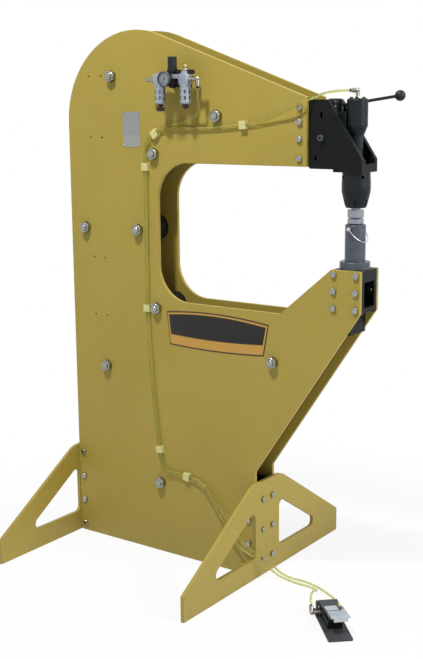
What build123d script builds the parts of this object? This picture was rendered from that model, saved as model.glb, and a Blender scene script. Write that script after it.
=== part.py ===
"""Floor-standing pneumatic planishing hammer: two C-shaped side plates on cross feet, an air hammer on the
arm, an anvil post on the jaw, an air unit on the near plate and a foot pedal on the floor.

Millimetres, +Z up, floor at Z = 0, tool axis at +X, near plate at -Y.
"""

import os
from math import cos, pi, radians, sin, sqrt, tan

from build123d import *

os.makedirs("parts", exist_ok=True)

# Side plates
frame_height = 1538.0  # floor to the crown of the rounded back
plate_t = 10.0
plate_gap = 81.0  # clear width between the two plates
column_depth = 665.0  # rear edge to front edge at the floor
spine_depth = 334.0  # rear edge to the back of the throat
throat_depth = 610.0  # back of the throat to the tool axis
throat_low = 775.0
throat_top = 1170.0
throat_r = 102.0
back_r = 256.0  # rounded top rear corner
arm_slope = 20.0  # fall of the arm's top edge, degrees
arm_short = 119.0  # the arm ends this far behind the tool axis
jaw_top = 908.0
jaw_nose = 43.5  # jaw front ahead of the tool axis
jaw_heel = 42.5  # rear end of the jaw top behind the tool axis
jaw_ramp = 40.4  # slope of the ramp behind the jaw, degrees
jaw_low = 798.0  # lower end of the jaw front
brace_low = 313.0  # the slanting underside meets the front edge here
plate_chamfer = 0.8

# Ties between the plates, as (distance from the rear edge, height)
tie_places = [
    (173.0, 1411.0),
    (544.0, 1299.0),
    (325.0, 1194.0),
    (61.0, 972.0),
    (262.0, 975.0),
    (326.0, 750.0),
    (130.0, 555.0),
    (725.0, 639.0),
    (330.0, 220.0),
]
spacer_r = 38.0
tie_d = 20.0
tie_af = 30.0
tie_head = 12.5
tie_nut = 16.0
tie_end = 5.0  # thread beyond the nut
washer_r = 18.5
washer_t = 3.0
bolt_clear = 0.5  # radial play of bolts in drilled holes
thread_fit = 0.1  # radial play drawn at tapped holes

# Hexagon bolts of the feet and brackets
bolt_d = 10.0
bolt_af = 16.0
bolt_head = 6.4

# Drilled accessory patterns in the near plate
accessory_r = 3.0
rack_x, rack_z, rack_w, rack_h = 108.0, 1325.0, 44.0, 175.0
tray_x, tray_z, tray_w, tray_h = 109.0, 796.0, 44.0, 175.0

# Feet
foot_t = 10.0
foot_half = 403.0
foot_end = 72.0  # height of the outer ends
foot_top_half = 72.0
foot_top_r = 80.0  # rounding of the two top corners
foot_height = 282.0
front_window_in = 62.0  # inner edge of the windows from the mid-plane
rear_window_in = 54.0
window_low = 62.0
window_rib = 65.0  # width of the sloping rib outside the windows
window_r = 17.0
foot_bolt_y = 24.0
foot_bolt_rows = [48.0, 138.0, 228.0]
side_bolt_in = 20.0  # side bolts from the plate's edge
rear_bolt_rows = [24.0, 103.0, 182.0, 261.0]
front_bolt_rows = [22.0, 98.0, 167.0, 238.0]
wall_t = 12.0  # tapped walls of channels and brackets
channel_depth = 62.0
channel_low = 6.0
channel_high = 276.0

# Head bracket
bracket_lap = 50.0  # length of the bracket inside the arm
gusset_top = 1341.0
gusset_peak = 63.0  # level top ends this far behind the tool axis
gusset_front = 38.0  # front edge ahead of the tool axis
gusset_toe = 1191.0  # the slanting front edge ends at this height
bracket_low = 1165.0
bracket_step = 5.0  # bevel where the bracket leaves the arm
base_back = 46.0
base_low = 1158.0
base_t = 20.0
head_bolt_in = 21.0  # head bolts behind the arm end
head_bolt_rows = [1191.0, 1241.0, 1284.0, 1322.0]
slot_high = (82.0, 1301.0, 19.0)  # behind the axis, height, length
slot_low = (98.0, 1192.0, 17.0)
slot_w = 8.0
block_back = 108.0
block_front = 18.0
block_low = 1184.0
block_top = 1309.0
screw_d = 10.0
screw_head_r = 8.0
screw_head = 10.0
screw_bite = 20.0
screw_back, screw_z = 80.0, 1244.0

# Air hammer
head_r = 27.0
head_low = 1274.0
head_top = 1343.0
head_round = 6.0
taper_low = 1251.0
taper_r = 18.0
neck_r = 15.5
neck_top = 1262.0  # end of the barrel inside the head
flange_r = 24.0
flange_t = 9.0
spigot_r = 15.0
spigot_gap = 2.0  # barrel end over the bush
bore_r = 11.0
run_fit = 0.05  # radial running clearance
seat_fit = 0.05  # radial play at fixed seats
nose_top_r = 36.0
nose_belly_r = 37.6
nose_joint = 1123.0  # fine groove round the widest part
nose_low = 1067.0
nose_low_r = 26.0
cavity_r = 22.5
bush_r = 16.0
bush_len = 24.0
rod_r = 8.0
piston_len = 60.0
ram_stroke = 25.0
piston_rest = 0.3  # gap over the bush at rest
die_r = 21.2
upper_die_low = 1041.0
upper_die_len = 21.0
upper_neck_r = 12.0
upper_neck_len = 6.0
neck_play = 1.0  # die neck under the bush at the top of the stroke
socket_lift = 5.0  # rod end over the die's working face

# Anvil
crown_top = 1040.0
crown_drop = 1.6
lower_die_low = 1024.0
shank_r = 12.5
shank_low = 962.0
post_r = 27.0
post_spigot_r = 18.0
collar_r = 40.0
collar_t = 20.0
cheek_low = 794.0
cheek_len = 110.0
jaw_plate_t = 30.0
jaw_shelf_low = 798.0
jaw_shelf_t = 12.0
jaw_web_x = 6.0  # web ahead of the tool axis
jaw_web_low = 737.0  # the web reaches down past the cheeks
jaw_bolt_back = 34.0
jaw_bolt_front = 31.0
jaw_bolt_rows = [807.0, 852.0, 896.0]
pin_r = 4.0
pin_z = 1014.0
pin_head_r = 5.5
pin_half = 40.0
bail_half = 36.0  # ends of the bail from the mid-plane
bail_len = 46.0  # pin axis to the far side of the bail
bail_wire = 1.2
bail_fall = 50.0  # resting slope of the bail below the horizontal, degrees

# Clamp lever
hub_back = 64.0
hub_r = 20.0
hub_top = 1343.0
stud_r = 8.0
stud_len = 42.0
arm_r = 4.0
arm_z = 1323.0
arm_turn = 40.0  # rest direction seen from above, degrees from +X
arm_rise = 8.8
arm_reach = 170.0  # hub axis to ball centre
arm_bite = 10.0  # inner end of the arm from the hub axis
ball_r = 14.0
ball_bite = 12.0

# Hoses
hose_r = 3.2
hose_off = 6.5  # hose centre from the near plate
hose_bite = 8.0  # hose inside a fitting
clip_len = 24.0  # along the hoses
clip_w = 22.0
clip_pad = 3.0
clip_saddle = 21.0
clip_h = 11.5

# Air unit
unit_off = 45.0  # unit axis from the near plate
unit_x = 427.5  # regulator axis from the rear edge
unit_pitch = 43.0
unit_z = 1398.0
body_w = 34.0
body_d = 30.0
body_h = 27.0
body_round = 8.0
waist_h = 12.0  # tapered lower part of the cast bodies
waist_taper = 7.0
guard_r = 14.5
guard_in = 12.5
guard_low = 1332.0
cup_r = 12.2
cup_in = 10.4
cup_low = 1336.0
drain_stem = 3.0
drain_wing = 24.0
drain_low = 1313.0
oil_drain_low = 1319.0
bonnet_r = 12.8  # regulator neck under the knob
knob_r = 12.4
knob_low = 1417.5
knob_top = 1458.0
knob_post_r = 8.0
gauge_r = 20.0
gauge_t = 14.0
gauge_stem = 12.0
gauge_lip = 2.0
gauge_deep = 5.0
oiler_neck_r = 11.5
dome_r = 9.5
dome_low = 1418.0
dome_top = 1430.0
drip_r = 5.0
drip_top = 1437.0
yoke_t = 5.0  # yoke over the regulator and the lubricator
yoke_front = 4.0
yoke_back = 14.5
ear_w = 9.0  # upright ears of the yoke, one on each side of the sight dome
ear_h = 11.0
plug_r = 6.0
plug_len = 31.5
outlet_reach = 24.5
outlet_drop = 20.0

# Foot pedal, standing on the floor; a runs from the heel edge to the toe
pedal_ahead = 119.3  # heel edge ahead of the tool axis
pedal_side = 259.6  # heel edge to the near side of the mid-plane
pedal_turn = 47.0  # heel direction, degrees from +X toward -Y
pedal_len = 190.0
pedal_w = 65.0
pedal_t = 4.0
pedal_corner = 5.0
ear_t = 4.0
ear_in = 24.0
pivot_a = 160.0
pivot_z = 32.0
pivot_r = 3.0
tread_rise = 4.9
tread_w = 44.0
tread_t = 3.0
tread_len = 132.0
tread_over = 6.0  # tread surface over the pivot
tread_window = 54.0  # middle of the opening from the pivot
tread_window_len = 36.0
tread_window_w = 34.0
pad_len = 48.0
pad_w = 50.0
pad_shift = 6.0  # the pad sits off the treadle's middle line
lip_w = 37.0
pad_t = 2.5
pad_ribs = 5
valve_back, valve_front = 64.0, 166.0
valve_half = 20.0
valve_top = 26.0
plunger_a = 76.0
plunger_r = 4.0
plunger_low = 18.0
plunger_gap = 0.5
port_a = 142.0
port_z = 15.0
port_r = 5.0
elbow_r = 6.0
elbow_len = 16.0
elbow_out_near = 44.0
elbow_out_far = 40.0
elbow_rise = 50.0  # near elbow's tilt above the horizontal, degrees
spring_r = 7.0
spring_wire = 0.6
spring_turns = 4

# Places worked out from the sizes
heel_reach = spine_depth + throat_depth + pedal_ahead
corner_side = (pedal_w / 2 - pedal_corner) * sin(radians(pedal_turn))
pedal_reach = heel_reach + corner_side + pedal_corner * (1 - cos(radians(pedal_turn)))
rear_reach = foot_t + bolt_head
x_rear = rear_reach - (rear_reach + pedal_reach) / 2
front_x = x_rear + column_depth
throat_x = x_rear + spine_depth
tool_x = throat_x + throat_depth
arm_end = tool_x - arm_short
jaw_front = tool_x + jaw_nose
jaw_rear = tool_x - jaw_heel
ramp_slope = tan(radians(jaw_ramp))
ramp_foot = jaw_rear - (jaw_top - throat_low) / ramp_slope
frame_half = plate_gap / 2 + plate_t
bolt_len = plate_t + wall_t
upper_die_top = upper_die_low + upper_die_len
upper_neck_top = upper_die_top + upper_neck_len
socket_floor = upper_die_low + socket_lift
bush_low = upper_neck_top + ram_stroke + neck_play
bush_top = bush_low + bush_len
spigot_low = bush_top + spigot_gap
tool_axis = Axis((tool_x, 0, 0), (0, 0, 1))


def facing(point, direction, across=(0, 0, 1)):
    """Place at a point with its +Z along a direction and its X along another."""
    return Plane(origin=point, x_dir=across, z_dir=direction).location


def turned(profile):
    """Solid of revolution about +Z from (radius, height) points."""
    with BuildPart() as lathe:
        with BuildSketch(Plane.XZ):
            with BuildLine():
                Polyline(*profile, close=True)
            make_face()
        revolve(axis=Axis.Z)
    return lathe.part


def hex_head(flats, height):
    """Hexagon with its top corners turned off, standing on Z = 0."""
    with BuildPart() as head:
        with BuildSketch():
            RegularPolygon(flats / 2, 6, major_radius=False)
        extrude(amount=height)
        with BuildSketch(Plane.XZ):
            with BuildLine():
                Polyline(
                    (0, 0),
                    (0.6 * flats, 0),
                    (0.6 * flats, 0.8 * height),
                    (0.46 * flats, height),
                    (0, height),
                    close=True,
                )
            make_face()
        revolve(axis=Axis.Z, mode=Mode.INTERSECT)
    return head.part


def hex_bolt(diameter, head_form, length):
    """Bolt with the underside of its head at Z = 0 and its shank along -Z."""
    with BuildPart() as bolt:
        add(head_form)
        with BuildSketch():
            Circle(diameter / 2)
        extrude(amount=-length)
        chamfer(bolt.faces().sort_by(Axis.Z)[0].edges(), 0.08 * diameter)
    return bolt.part


def hose(points):
    """Round hose along straight runs joined by tangent arcs."""
    radii = []
    for before, here, after in zip(points, points[1:], points[2:]):
        run_in = Vector(here) - Vector(before)
        run_out = Vector(after) - Vector(here)
        half_turn = radians(run_in.get_angle(run_out)) / 2
        radii.append(0.45 * min(run_in.length, run_out.length) / tan(half_turn))
    with BuildPart() as tube:
        with BuildLine() as route:
            FilletPolyline(*points, radius=radii)
        with BuildSketch(Plane(origin=route.line @ 0, z_dir=route.line % 0)):
            Circle(hose_r)
        sweep()
    length = sum(edge.length for edge in route.edges())
    share = tube.part.volume / (pi * hose_r**2 * length)
    print("hose radii", [round(r, 1) for r in radii])
    print("hose length", round(length, 1), "volume over section times length", round(share, 5))
    return tube


# Side plates
with BuildSketch() as plate_outline:
    with BuildLine():
        back = Line((x_rear, 0), (x_rear, frame_height - back_r))
        crown = JernArc(back @ 1, (0, 1), back_r, -(90 + arm_slope))
        arm_fall = (arm_end - (crown @ 1).X) * tan(radians(arm_slope))
        Polyline(
            crown @ 1,
            (arm_end, (crown @ 1).Y - arm_fall),
            (arm_end, throat_top),
            (throat_x + throat_r, throat_top),
        )
        CenterArc((throat_x + throat_r, throat_top - throat_r), throat_r, 90, 90)
        Line((throat_x, throat_top - throat_r), (throat_x, throat_low + throat_r))
        CenterArc((throat_x + throat_r, throat_low + throat_r), throat_r, 180, 90)
        Polyline(
            (throat_x + throat_r, throat_low),
            (ramp_foot, throat_low),
            (jaw_rear, jaw_top),
            (jaw_front, jaw_top),
            (jaw_front, jaw_low),
            (front_x, brace_low),
            (front_x, 0),
            (x_rear, 0),
        )
    make_face()

tie_spots = [(x_rear + x, z) for x, z in tie_places]
head_spots = [(arm_end - head_bolt_in, z) for z in head_bolt_rows]
jaw_spots = [(tool_x + dx, z) for dx in (-jaw_bolt_back, jaw_bolt_front) for z in jaw_bolt_rows]
rear_spots = [(x_rear + side_bolt_in, z) for z in rear_bolt_rows]
front_spots = [(front_x - side_bolt_in, z) for z in front_bolt_rows]
side_spots = rear_spots + front_spots

with BuildSketch() as plate_holes:
    with Locations(*tie_spots):
        Circle(tie_d / 2 + bolt_clear)
    with Locations(*head_spots, *jaw_spots, *side_spots):
        Circle(bolt_d / 2 + bolt_clear)

with BuildPart() as side_plate_near:
    with BuildSketch(Plane.XZ.offset(plate_gap / 2)):
        add(plate_outline.sketch_local)
    extrude(amount=plate_t)
    chamfer(side_plate_near.faces().sort_by(Axis.Y)[0].edges(), plate_chamfer)
    with BuildSketch(Plane.XZ.offset(plate_gap / 2)):
        add(plate_holes.sketch_local)
        with Locations((x_rear + rack_x, rack_z)):
            with GridLocations(rack_w, rack_h, 2, 2):
                Circle(accessory_r)
        with Locations((x_rear + tray_x, tray_z)):
            with GridLocations(tray_w, tray_h, 2, 2):
                Circle(accessory_r)
    extrude(amount=plate_t, mode=Mode.SUBTRACT)

with BuildPart() as side_plate_far:
    with BuildSketch(Plane.XZ.offset(-plate_gap / 2)):
        add(plate_outline.sketch_local)
    extrude(amount=-plate_t)
    chamfer(side_plate_far.faces().sort_by(Axis.Y)[-1].edges(), plate_chamfer)
    with BuildSketch(Plane.XZ.offset(-plate_gap / 2)):
        add(plate_holes.sketch_local)
    extrude(amount=-plate_t, mode=Mode.SUBTRACT)

# Ties
with BuildPart() as tie_spacers:
    with BuildSketch(Plane.XZ.offset(-plate_gap / 2)):
        with Locations(*tie_spots):
            Circle(spacer_r)
        with Locations(*tie_spots):
            Circle(tie_d / 2 + bolt_clear, mode=Mode.SUBTRACT)
    extrude(amount=plate_gap)

tie_length = 2 * frame_half + washer_t + tie_nut + tie_end
tie_bolt = hex_bolt(tie_d, hex_head(tie_af, tie_head), tie_length)
with BuildPart() as tie_bolts:
    with Locations(*[facing((x, frame_half + washer_t, z), (0, 1, 0)) for x, z in tie_spots]):
        add(tie_bolt)

with BuildPart() as tie_washers:
    with BuildSketch(Plane.XZ.offset(-frame_half)):
        with Locations(*tie_spots):
            Circle(washer_r)
        with Locations(*tie_spots):
            Circle(tie_d / 2 + bolt_clear, mode=Mode.SUBTRACT)
    extrude(amount=-washer_t)

nut_blank = hex_head(tie_af, tie_nut)
with BuildPart() as nut_form:
    add(nut_blank)
    with Locations((0, 0, tie_nut / 2)):
        Cylinder(tie_d / 2 + thread_fit, tie_nut, mode=Mode.SUBTRACT)
with BuildPart() as tie_nuts:
    with Locations(*[facing((x, -frame_half, z), (0, -1, 0)) for x, z in tie_spots]):
        add(nut_form.part)

# Feet
foot_slope = (foot_height - foot_end) / (foot_half - foot_top_half)
rib_rise = window_rib * sqrt(1 + foot_slope**2)
face_rows = [(y, z) for y in (-foot_bolt_y, foot_bolt_y) for z in foot_bolt_rows]


def foot_outline(window_in):
    """Foot with two windows, seen along X, the windows starting this far from the mid-plane."""
    window_high = foot_height - foot_slope * (window_in - foot_top_half) - rib_rise
    window_out = window_in + (window_high - window_low) / foot_slope
    with BuildSketch() as foot_window:
        with BuildLine():
            Polyline(
                (window_in, window_low),
                (window_out, window_low),
                (window_in, window_high),
                close=True,
            )
        make_face()
        fillet(foot_window.vertices(), window_r)
    with BuildSketch() as outline:
        with BuildLine():
            Polyline(
                (-foot_half, 0),
                (foot_half, 0),
                (foot_half, foot_end),
                (foot_top_half, foot_height),
                (-foot_top_half, foot_height),
                (-foot_half, foot_end),
                close=True,
            )
        make_face()
        fillet(outline.vertices().sort_by(Axis.Y)[-2:], foot_top_r)
        add(foot_window.sketch, mode=Mode.SUBTRACT)
        add(mirror(foot_window.sketch, about=Plane.YZ, mode=Mode.PRIVATE), mode=Mode.SUBTRACT)
        with Locations(*face_rows):
            Circle(bolt_d / 2 + bolt_clear, mode=Mode.SUBTRACT)
    return outline.sketch_local


with BuildPart() as front_foot:
    with BuildSketch(Plane.YZ.offset(front_x)):
        add(foot_outline(front_window_in))
    extrude(amount=foot_t)

with BuildPart() as rear_foot:
    with BuildSketch(Plane.YZ.offset(x_rear - foot_t)):
        add(foot_outline(rear_window_in))
    extrude(amount=foot_t)


def foot_channel(side_rows):
    """Channel behind a foot, its outer face at X = 0, tapped for the foot bolts and the side bolts."""
    with BuildPart() as channel:
        with BuildSketch(Plane.XY.offset(channel_low)):
            with Locations((-channel_depth / 2, 0)):
                Rectangle(channel_depth, plate_gap)
            with Locations((-wall_t - channel_depth / 2, 0)):
                Rectangle(channel_depth, plate_gap - 2 * wall_t, mode=Mode.SUBTRACT)
        extrude(amount=channel_high - channel_low)
        with BuildSketch(Plane.YZ):
            with Locations(*face_rows):
                Circle(bolt_d / 2 + thread_fit)
        extrude(amount=-wall_t, mode=Mode.SUBTRACT)
        with BuildSketch(Plane.XZ):
            with Locations(*[(-side_bolt_in, z) for z in side_rows]):
                Circle(bolt_d / 2 + thread_fit)
        extrude(amount=plate_gap, both=True, mode=Mode.SUBTRACT)
    return channel.part


with BuildPart() as foot_channels:
    with Locations((front_x, 0, 0)):
        add(foot_channel(front_bolt_rows))
    with Locations(Location((x_rear, 0, 0), (0, 0, 180))):
        add(foot_channel(rear_bolt_rows))

# Hexagon bolts of the feet, the head and the jaw
short_bolt = hex_bolt(bolt_d, hex_head(bolt_af, bolt_head), bolt_len)
front_face = front_x + foot_t
rear_face = x_rear - foot_t
with BuildPart() as foot_bolts:
    with Locations(
        *[facing((front_face, y, z), (1, 0, 0)) for y, z in face_rows],
        *[facing((rear_face, y, z), (-1, 0, 0)) for y, z in face_rows],
        *[facing((x, -frame_half, z), (0, -1, 0)) for x, z in side_spots],
        *[facing((x, frame_half, z), (0, 1, 0)) for x, z in side_spots],
    ):
        add(short_bolt)

with BuildPart() as head_bolts:
    with Locations(*[facing((x, s * frame_half, z), (0, s, 0)) for s in (-1, 1) for x, z in head_spots]):
        add(short_bolt)

with BuildPart() as jaw_bolts:
    with Locations(*[facing((x, s * frame_half, z), (0, s, 0)) for s in (-1, 1) for x, z in jaw_spots]):
        add(short_bolt)

# Head bracket: two gussets, base plate and rear web welded together
gusset_in = plate_gap / 2 - wall_t
with BuildPart() as head_bracket:
    with BuildSketch(Plane.XZ.offset(gusset_in)):
        with BuildLine():
            Polyline(
                (arm_end - bracket_lap, bracket_low + bracket_step),
                (arm_end, bracket_low + bracket_step),
                (arm_end + bracket_step, bracket_low),
                (tool_x + gusset_front, bracket_low),
                (tool_x + gusset_front, gusset_toe),
                (tool_x - gusset_peak, gusset_top),
                (arm_end - bracket_lap, gusset_top),
                close=True,
            )
        make_face()
        with Locations(*head_spots):
            Circle(bolt_d / 2 + thread_fit, mode=Mode.SUBTRACT)
        for back_by, height, long in (slot_high, slot_low):
            with Locations((tool_x - back_by, height)):
                SlotOverall(long, slot_w, rotation=90, mode=Mode.SUBTRACT)
        with Locations((tool_x - screw_back, screw_z)):
            Circle(screw_d / 2 + bolt_clear, mode=Mode.SUBTRACT)
    extrude(amount=wall_t)
    mirror(about=Plane.XZ)
    with BuildSketch(Plane.XY.offset(base_low)):
        with Locations((tool_x + (gusset_front - base_back) / 2, 0)):
            Rectangle(base_back + gusset_front, plate_gap)
    extrude(amount=base_t)
    with BuildSketch(Plane.XY.offset(bracket_low + bracket_step)):
        with Locations((arm_end - bracket_lap + wall_t / 2, 0)):
            Rectangle(wall_t, plate_gap)
    extrude(amount=gusset_top - bracket_low - bracket_step)
    with Locations((tool_x, 0, base_low + base_t / 2)):
        Cylinder(spigot_r + bolt_clear, 2 * base_t, mode=Mode.SUBTRACT)

# Block between the gussets, with a saddle for the hammer
with BuildPart() as hammer_block:
    with BuildSketch(Plane.XY.offset(block_low)):
        with Locations((tool_x - (block_back + block_front) / 2, 0)):
            Rectangle(block_back - block_front, 2 * gusset_in)
        with Locations((tool_x, 0)):
            Circle(head_r + bolt_clear, mode=Mode.SUBTRACT)
    extrude(amount=block_top - block_low)
    with Locations((tool_x - hub_back, 0, block_top)):
        Cylinder(stud_r + run_fit, 2 * stud_len, mode=Mode.SUBTRACT)
    with BuildSketch(Plane.XZ.offset(gusset_in)):
        with Locations((tool_x - screw_back, screw_z)):
            Circle(screw_d / 2 + thread_fit)
    extrude(amount=-screw_bite, mode=Mode.SUBTRACT)
    with BuildSketch(Plane.XZ.offset(-gusset_in)):
        with Locations((tool_x - screw_back, screw_z)):
            Circle(screw_d / 2 + thread_fit)
    extrude(amount=screw_bite, mode=Mode.SUBTRACT)

with BuildPart() as screw_form:
    with BuildSketch():
        Circle(screw_head_r)
    extrude(amount=screw_head)
    chamfer(screw_form.faces().sort_by(Axis.Z)[-1].edges(), 0.8)
    with BuildSketch(Plane.XY.offset(screw_head)):
        RegularPolygon(4.0, 6, major_radius=False)
    extrude(amount=-5.0, mode=Mode.SUBTRACT)
    with BuildSketch():
        Circle(screw_d / 2)
    extrude(amount=-(wall_t + screw_bite))
with BuildPart() as block_screws:
    screw_x = tool_x - screw_back
    with Locations(*[facing((screw_x, s * plate_gap / 2, screw_z), (0, s, 0)) for s in (-1, 1)]):
        add(screw_form.part)

# Air hammer
elbow_stem = 5.0
with BuildPart() as hammer_head:
    with BuildSketch(Plane.XZ) as head_profile:
        with BuildLine():
            Polyline(
                (elbow_stem + seat_fit, neck_top),
                (neck_r + seat_fit, neck_top),
                (neck_r + seat_fit, taper_low),
                (taper_r, taper_low),
                (head_r, head_low),
                (head_r, head_top - head_round),
            )
            RadiusArc((head_r, head_top - head_round), (head_r - head_round, head_top), -head_round)
            Polyline(
                (head_r - head_round, head_top),
                (elbow_stem + seat_fit, head_top),
                (elbow_stem + seat_fit, neck_top),
            )
        make_face()
    revolve(axis=Axis.Z)
hammer_head.part.position = (tool_x, 0, 0)

base_top = base_low + base_t
barrel_form = turned(
    [
        (bore_r, spigot_low),
        (spigot_r, spigot_low),
        (spigot_r, base_top),
        (flange_r, base_top),
        (flange_r, base_top + flange_t),
        (neck_r, base_top + flange_t),
        (neck_r, neck_top),
        (bore_r, neck_top),
    ]
)
with BuildPart() as hammer_barrel:
    with Locations((tool_x, 0, 0)):
        add(barrel_form)

nose_form = turned(
    [
        (spigot_r + thread_fit, base_low),
        (nose_top_r, base_low),
        (nose_belly_r, nose_joint + 1),
        (nose_belly_r - 1, nose_joint + 0.5),
        (nose_belly_r - 1, nose_joint - 0.5),
        (nose_belly_r, nose_joint - 1),
        (nose_belly_r - 0.3, nose_joint - 11),
        (nose_belly_r - 1.3, nose_joint - 19),
        (nose_belly_r - 4.2, nose_joint - 31),
        (nose_low_r + 2.8, nose_low + 7),
        (nose_low_r, nose_low),
        (cavity_r, nose_low),
        (cavity_r, bush_low),
        (bush_r + seat_fit, bush_low),
        (bush_r + seat_fit, bush_top),
        (spigot_r + thread_fit, bush_top),
    ]
)
with BuildPart() as nose_retainer:
    with Locations((tool_x, 0, 0)):
        add(nose_form)
        with PolarLocations(nose_low_r + 4, 6, start_angle=-65):
            with Locations((0, 0, nose_low + 14)):
                Box(24, 6, 15, mode=Mode.SUBTRACT)
    for turn in (-35, 55, 145, 235):
        spot = (tool_x + nose_top_r * cos(radians(turn)), nose_top_r * sin(radians(turn)), base_low - 12)
        with Locations(facing(spot, (cos(radians(turn)), sin(radians(turn)), 0))):
            Cylinder(4.5, 24, mode=Mode.SUBTRACT)

bush_form = turned(
    [(rod_r + run_fit, bush_low), (bush_r, bush_low), (bush_r, bush_top), (rod_r + run_fit, bush_top)]
)
with BuildPart() as guide_bush:
    with Locations((tool_x, 0, 0)):
        add(bush_form)

piston_low = bush_top + piston_rest
ram_form = turned(
    [
        (0, socket_floor),
        (rod_r, socket_floor),
        (rod_r, piston_low),
        (bore_r - run_fit, piston_low),
        (bore_r - run_fit, piston_low + piston_len),
        (0, piston_low + piston_len),
    ]
)
with BuildPart() as ram_piston:
    with Locations((tool_x, 0, 0)):
        add(ram_form)

upper_die_form = turned(
    [
        (0, upper_die_low),
        (die_r - 1.5, upper_die_low),
        (die_r, upper_die_low + 1.5),
        (die_r, upper_die_top),
        (upper_neck_r, upper_die_top),
        (upper_neck_r, upper_neck_top),
        (rod_r + seat_fit, upper_neck_top),
        (rod_r + seat_fit, socket_floor),
        (0, socket_floor),
    ]
)
with BuildPart() as upper_die:
    with Locations((tool_x, 0, 0)):
        add(upper_die_form)

inlet_z = head_top + 20
inlet_reach = 17.0
with BuildPart() as hammer_elbow:
    with Locations((tool_x, 0, head_top)):
        Cylinder(elbow_stem, 24, align=(Align.CENTER, Align.CENTER, Align.MAX))
        Cylinder(elbow_stem, inlet_z - head_top, align=(Align.CENTER, Align.CENTER, Align.MIN))
    with BuildSketch(Plane.XY.offset(head_top)):
        with Locations((tool_x, 0)):
            RegularPolygon(6.5, 6, major_radius=False)
    extrude(amount=4)
    with Locations((tool_x, 0, inlet_z)):
        Sphere(6.2)
    with Locations(facing((tool_x, 0, inlet_z), (-1, 0, 0))):
        Cylinder(6.0, inlet_reach - 4, align=(Align.CENTER, Align.CENTER, Align.MIN))
        Cylinder(4.8, inlet_reach, align=(Align.CENTER, Align.CENTER, Align.MIN))
    with Locations(facing((tool_x - inlet_reach, 0, inlet_z), (1, 0, 0))):
        Cylinder(hose_r, hose_bite, align=(Align.CENTER, Align.CENTER, Align.MIN), mode=Mode.SUBTRACT)

# Clamp lever
hub_x = tool_x - hub_back
arm_dir = Vector(
    cos(radians(arm_turn)) * cos(radians(arm_rise)),
    sin(radians(arm_turn)) * cos(radians(arm_rise)),
    sin(radians(arm_rise)),
)
hub_point = Vector(hub_x, 0, arm_z)
ball_point = hub_point + arm_dir * arm_reach
hub_form = turned(
    [
        (0, block_top - stud_len),
        (stud_r, block_top - stud_len),
        (stud_r, block_top),
        (hub_r, block_top),
        (hub_r, hub_top - 4),
        (hub_r - 4, hub_top),
        (0, hub_top),
    ]
)
with BuildPart() as clamp_hub:
    with Locations((hub_x, 0, 0)):
        add(hub_form)
    with Locations(facing(hub_point + arm_dir * arm_bite, arm_dir)):
        Cylinder(
            arm_r + seat_fit, 2 * hub_r, align=(Align.CENTER, Align.CENTER, Align.MIN), mode=Mode.SUBTRACT
        )

arm_stop = arm_reach - ball_r + ball_bite
with BuildPart() as clamp_arm:
    with Locations(facing(hub_point + arm_dir * arm_bite, arm_dir)):
        Cylinder(arm_r, arm_stop - arm_bite, align=(Align.CENTER, Align.CENTER, Align.MIN))

with BuildPart() as ball_knob:
    with Locations(ball_point):
        Sphere(ball_r)
    with Locations(facing(hub_point + arm_dir * arm_stop, arm_dir * -1)):
        Cylinder(
            arm_r + seat_fit, 2 * ball_r, align=(Align.CENTER, Align.CENTER, Align.MIN), mode=Mode.SUBTRACT
        )

# Anvil bracket: two cheeks, thick top plate, shelf and web welded together
cheek_back = jaw_front - cheek_len
cheek_shoulder = jaw_top - ramp_slope * (jaw_rear - cheek_back)
with BuildPart() as anvil_bracket:
    with BuildSketch(Plane.XZ.offset(gusset_in)):
        with BuildLine():
            Polyline(
                (cheek_back, cheek_low),
                (jaw_front, cheek_low),
                (jaw_front, jaw_top),
                (jaw_rear, jaw_top),
                (cheek_back, cheek_shoulder),
                close=True,
            )
        make_face()
        with Locations(*jaw_spots):
            Circle(bolt_d / 2 + thread_fit, mode=Mode.SUBTRACT)
    extrude(amount=wall_t)
    mirror(about=Plane.XZ)
    with BuildSketch(Plane.XY.offset(jaw_top - jaw_plate_t)):
        with Locations(((jaw_rear + jaw_front) / 2, 0)):
            Rectangle(jaw_front - jaw_rear, 2 * gusset_in)
        with Locations((tool_x, 0)):
            Circle(post_spigot_r + seat_fit, mode=Mode.SUBTRACT)
    extrude(amount=jaw_plate_t)
    with BuildSketch(Plane.XY.offset(jaw_shelf_low)):
        with Locations(((cheek_back + jaw_front) / 2, 0)):
            Rectangle(cheek_len, 2 * gusset_in)
    extrude(amount=jaw_shelf_t)
    with BuildSketch(Plane.XY.offset(jaw_web_low)):
        with Locations((tool_x + jaw_web_x, 0)):
            Rectangle(wall_t, plate_gap)
    extrude(amount=jaw_top - jaw_plate_t - jaw_web_low)

# Anvil post, collar and lower die
post_form = turned(
    [
        (0, jaw_top - jaw_plate_t),
        (post_spigot_r, jaw_top - jaw_plate_t),
        (post_spigot_r, jaw_top),
        (post_r, jaw_top),
        (post_r, lower_die_low - 2),
        (post_r - 2, lower_die_low),
        (shank_r + seat_fit, lower_die_low),
        (shank_r + seat_fit, shank_low),
        (0, shank_low),
    ]
)
with BuildPart() as anvil_post:
    with Locations((tool_x, 0, 0)):
        add(post_form)
    with Locations(facing((tool_x, 0, pin_z), (0, 1, 0))):
        Cylinder(pin_r + run_fit, 4 * post_r, mode=Mode.SUBTRACT)

collar_form = turned(
    [
        (post_r + seat_fit, jaw_top),
        (collar_r, jaw_top),
        (collar_r, jaw_top + collar_t - 2),
        (collar_r - 2, jaw_top + collar_t),
        (post_r + seat_fit, jaw_top + collar_t),
    ]
)
with BuildPart() as post_collar:
    with Locations((tool_x, 0, 0)):
        add(collar_form)

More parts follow.
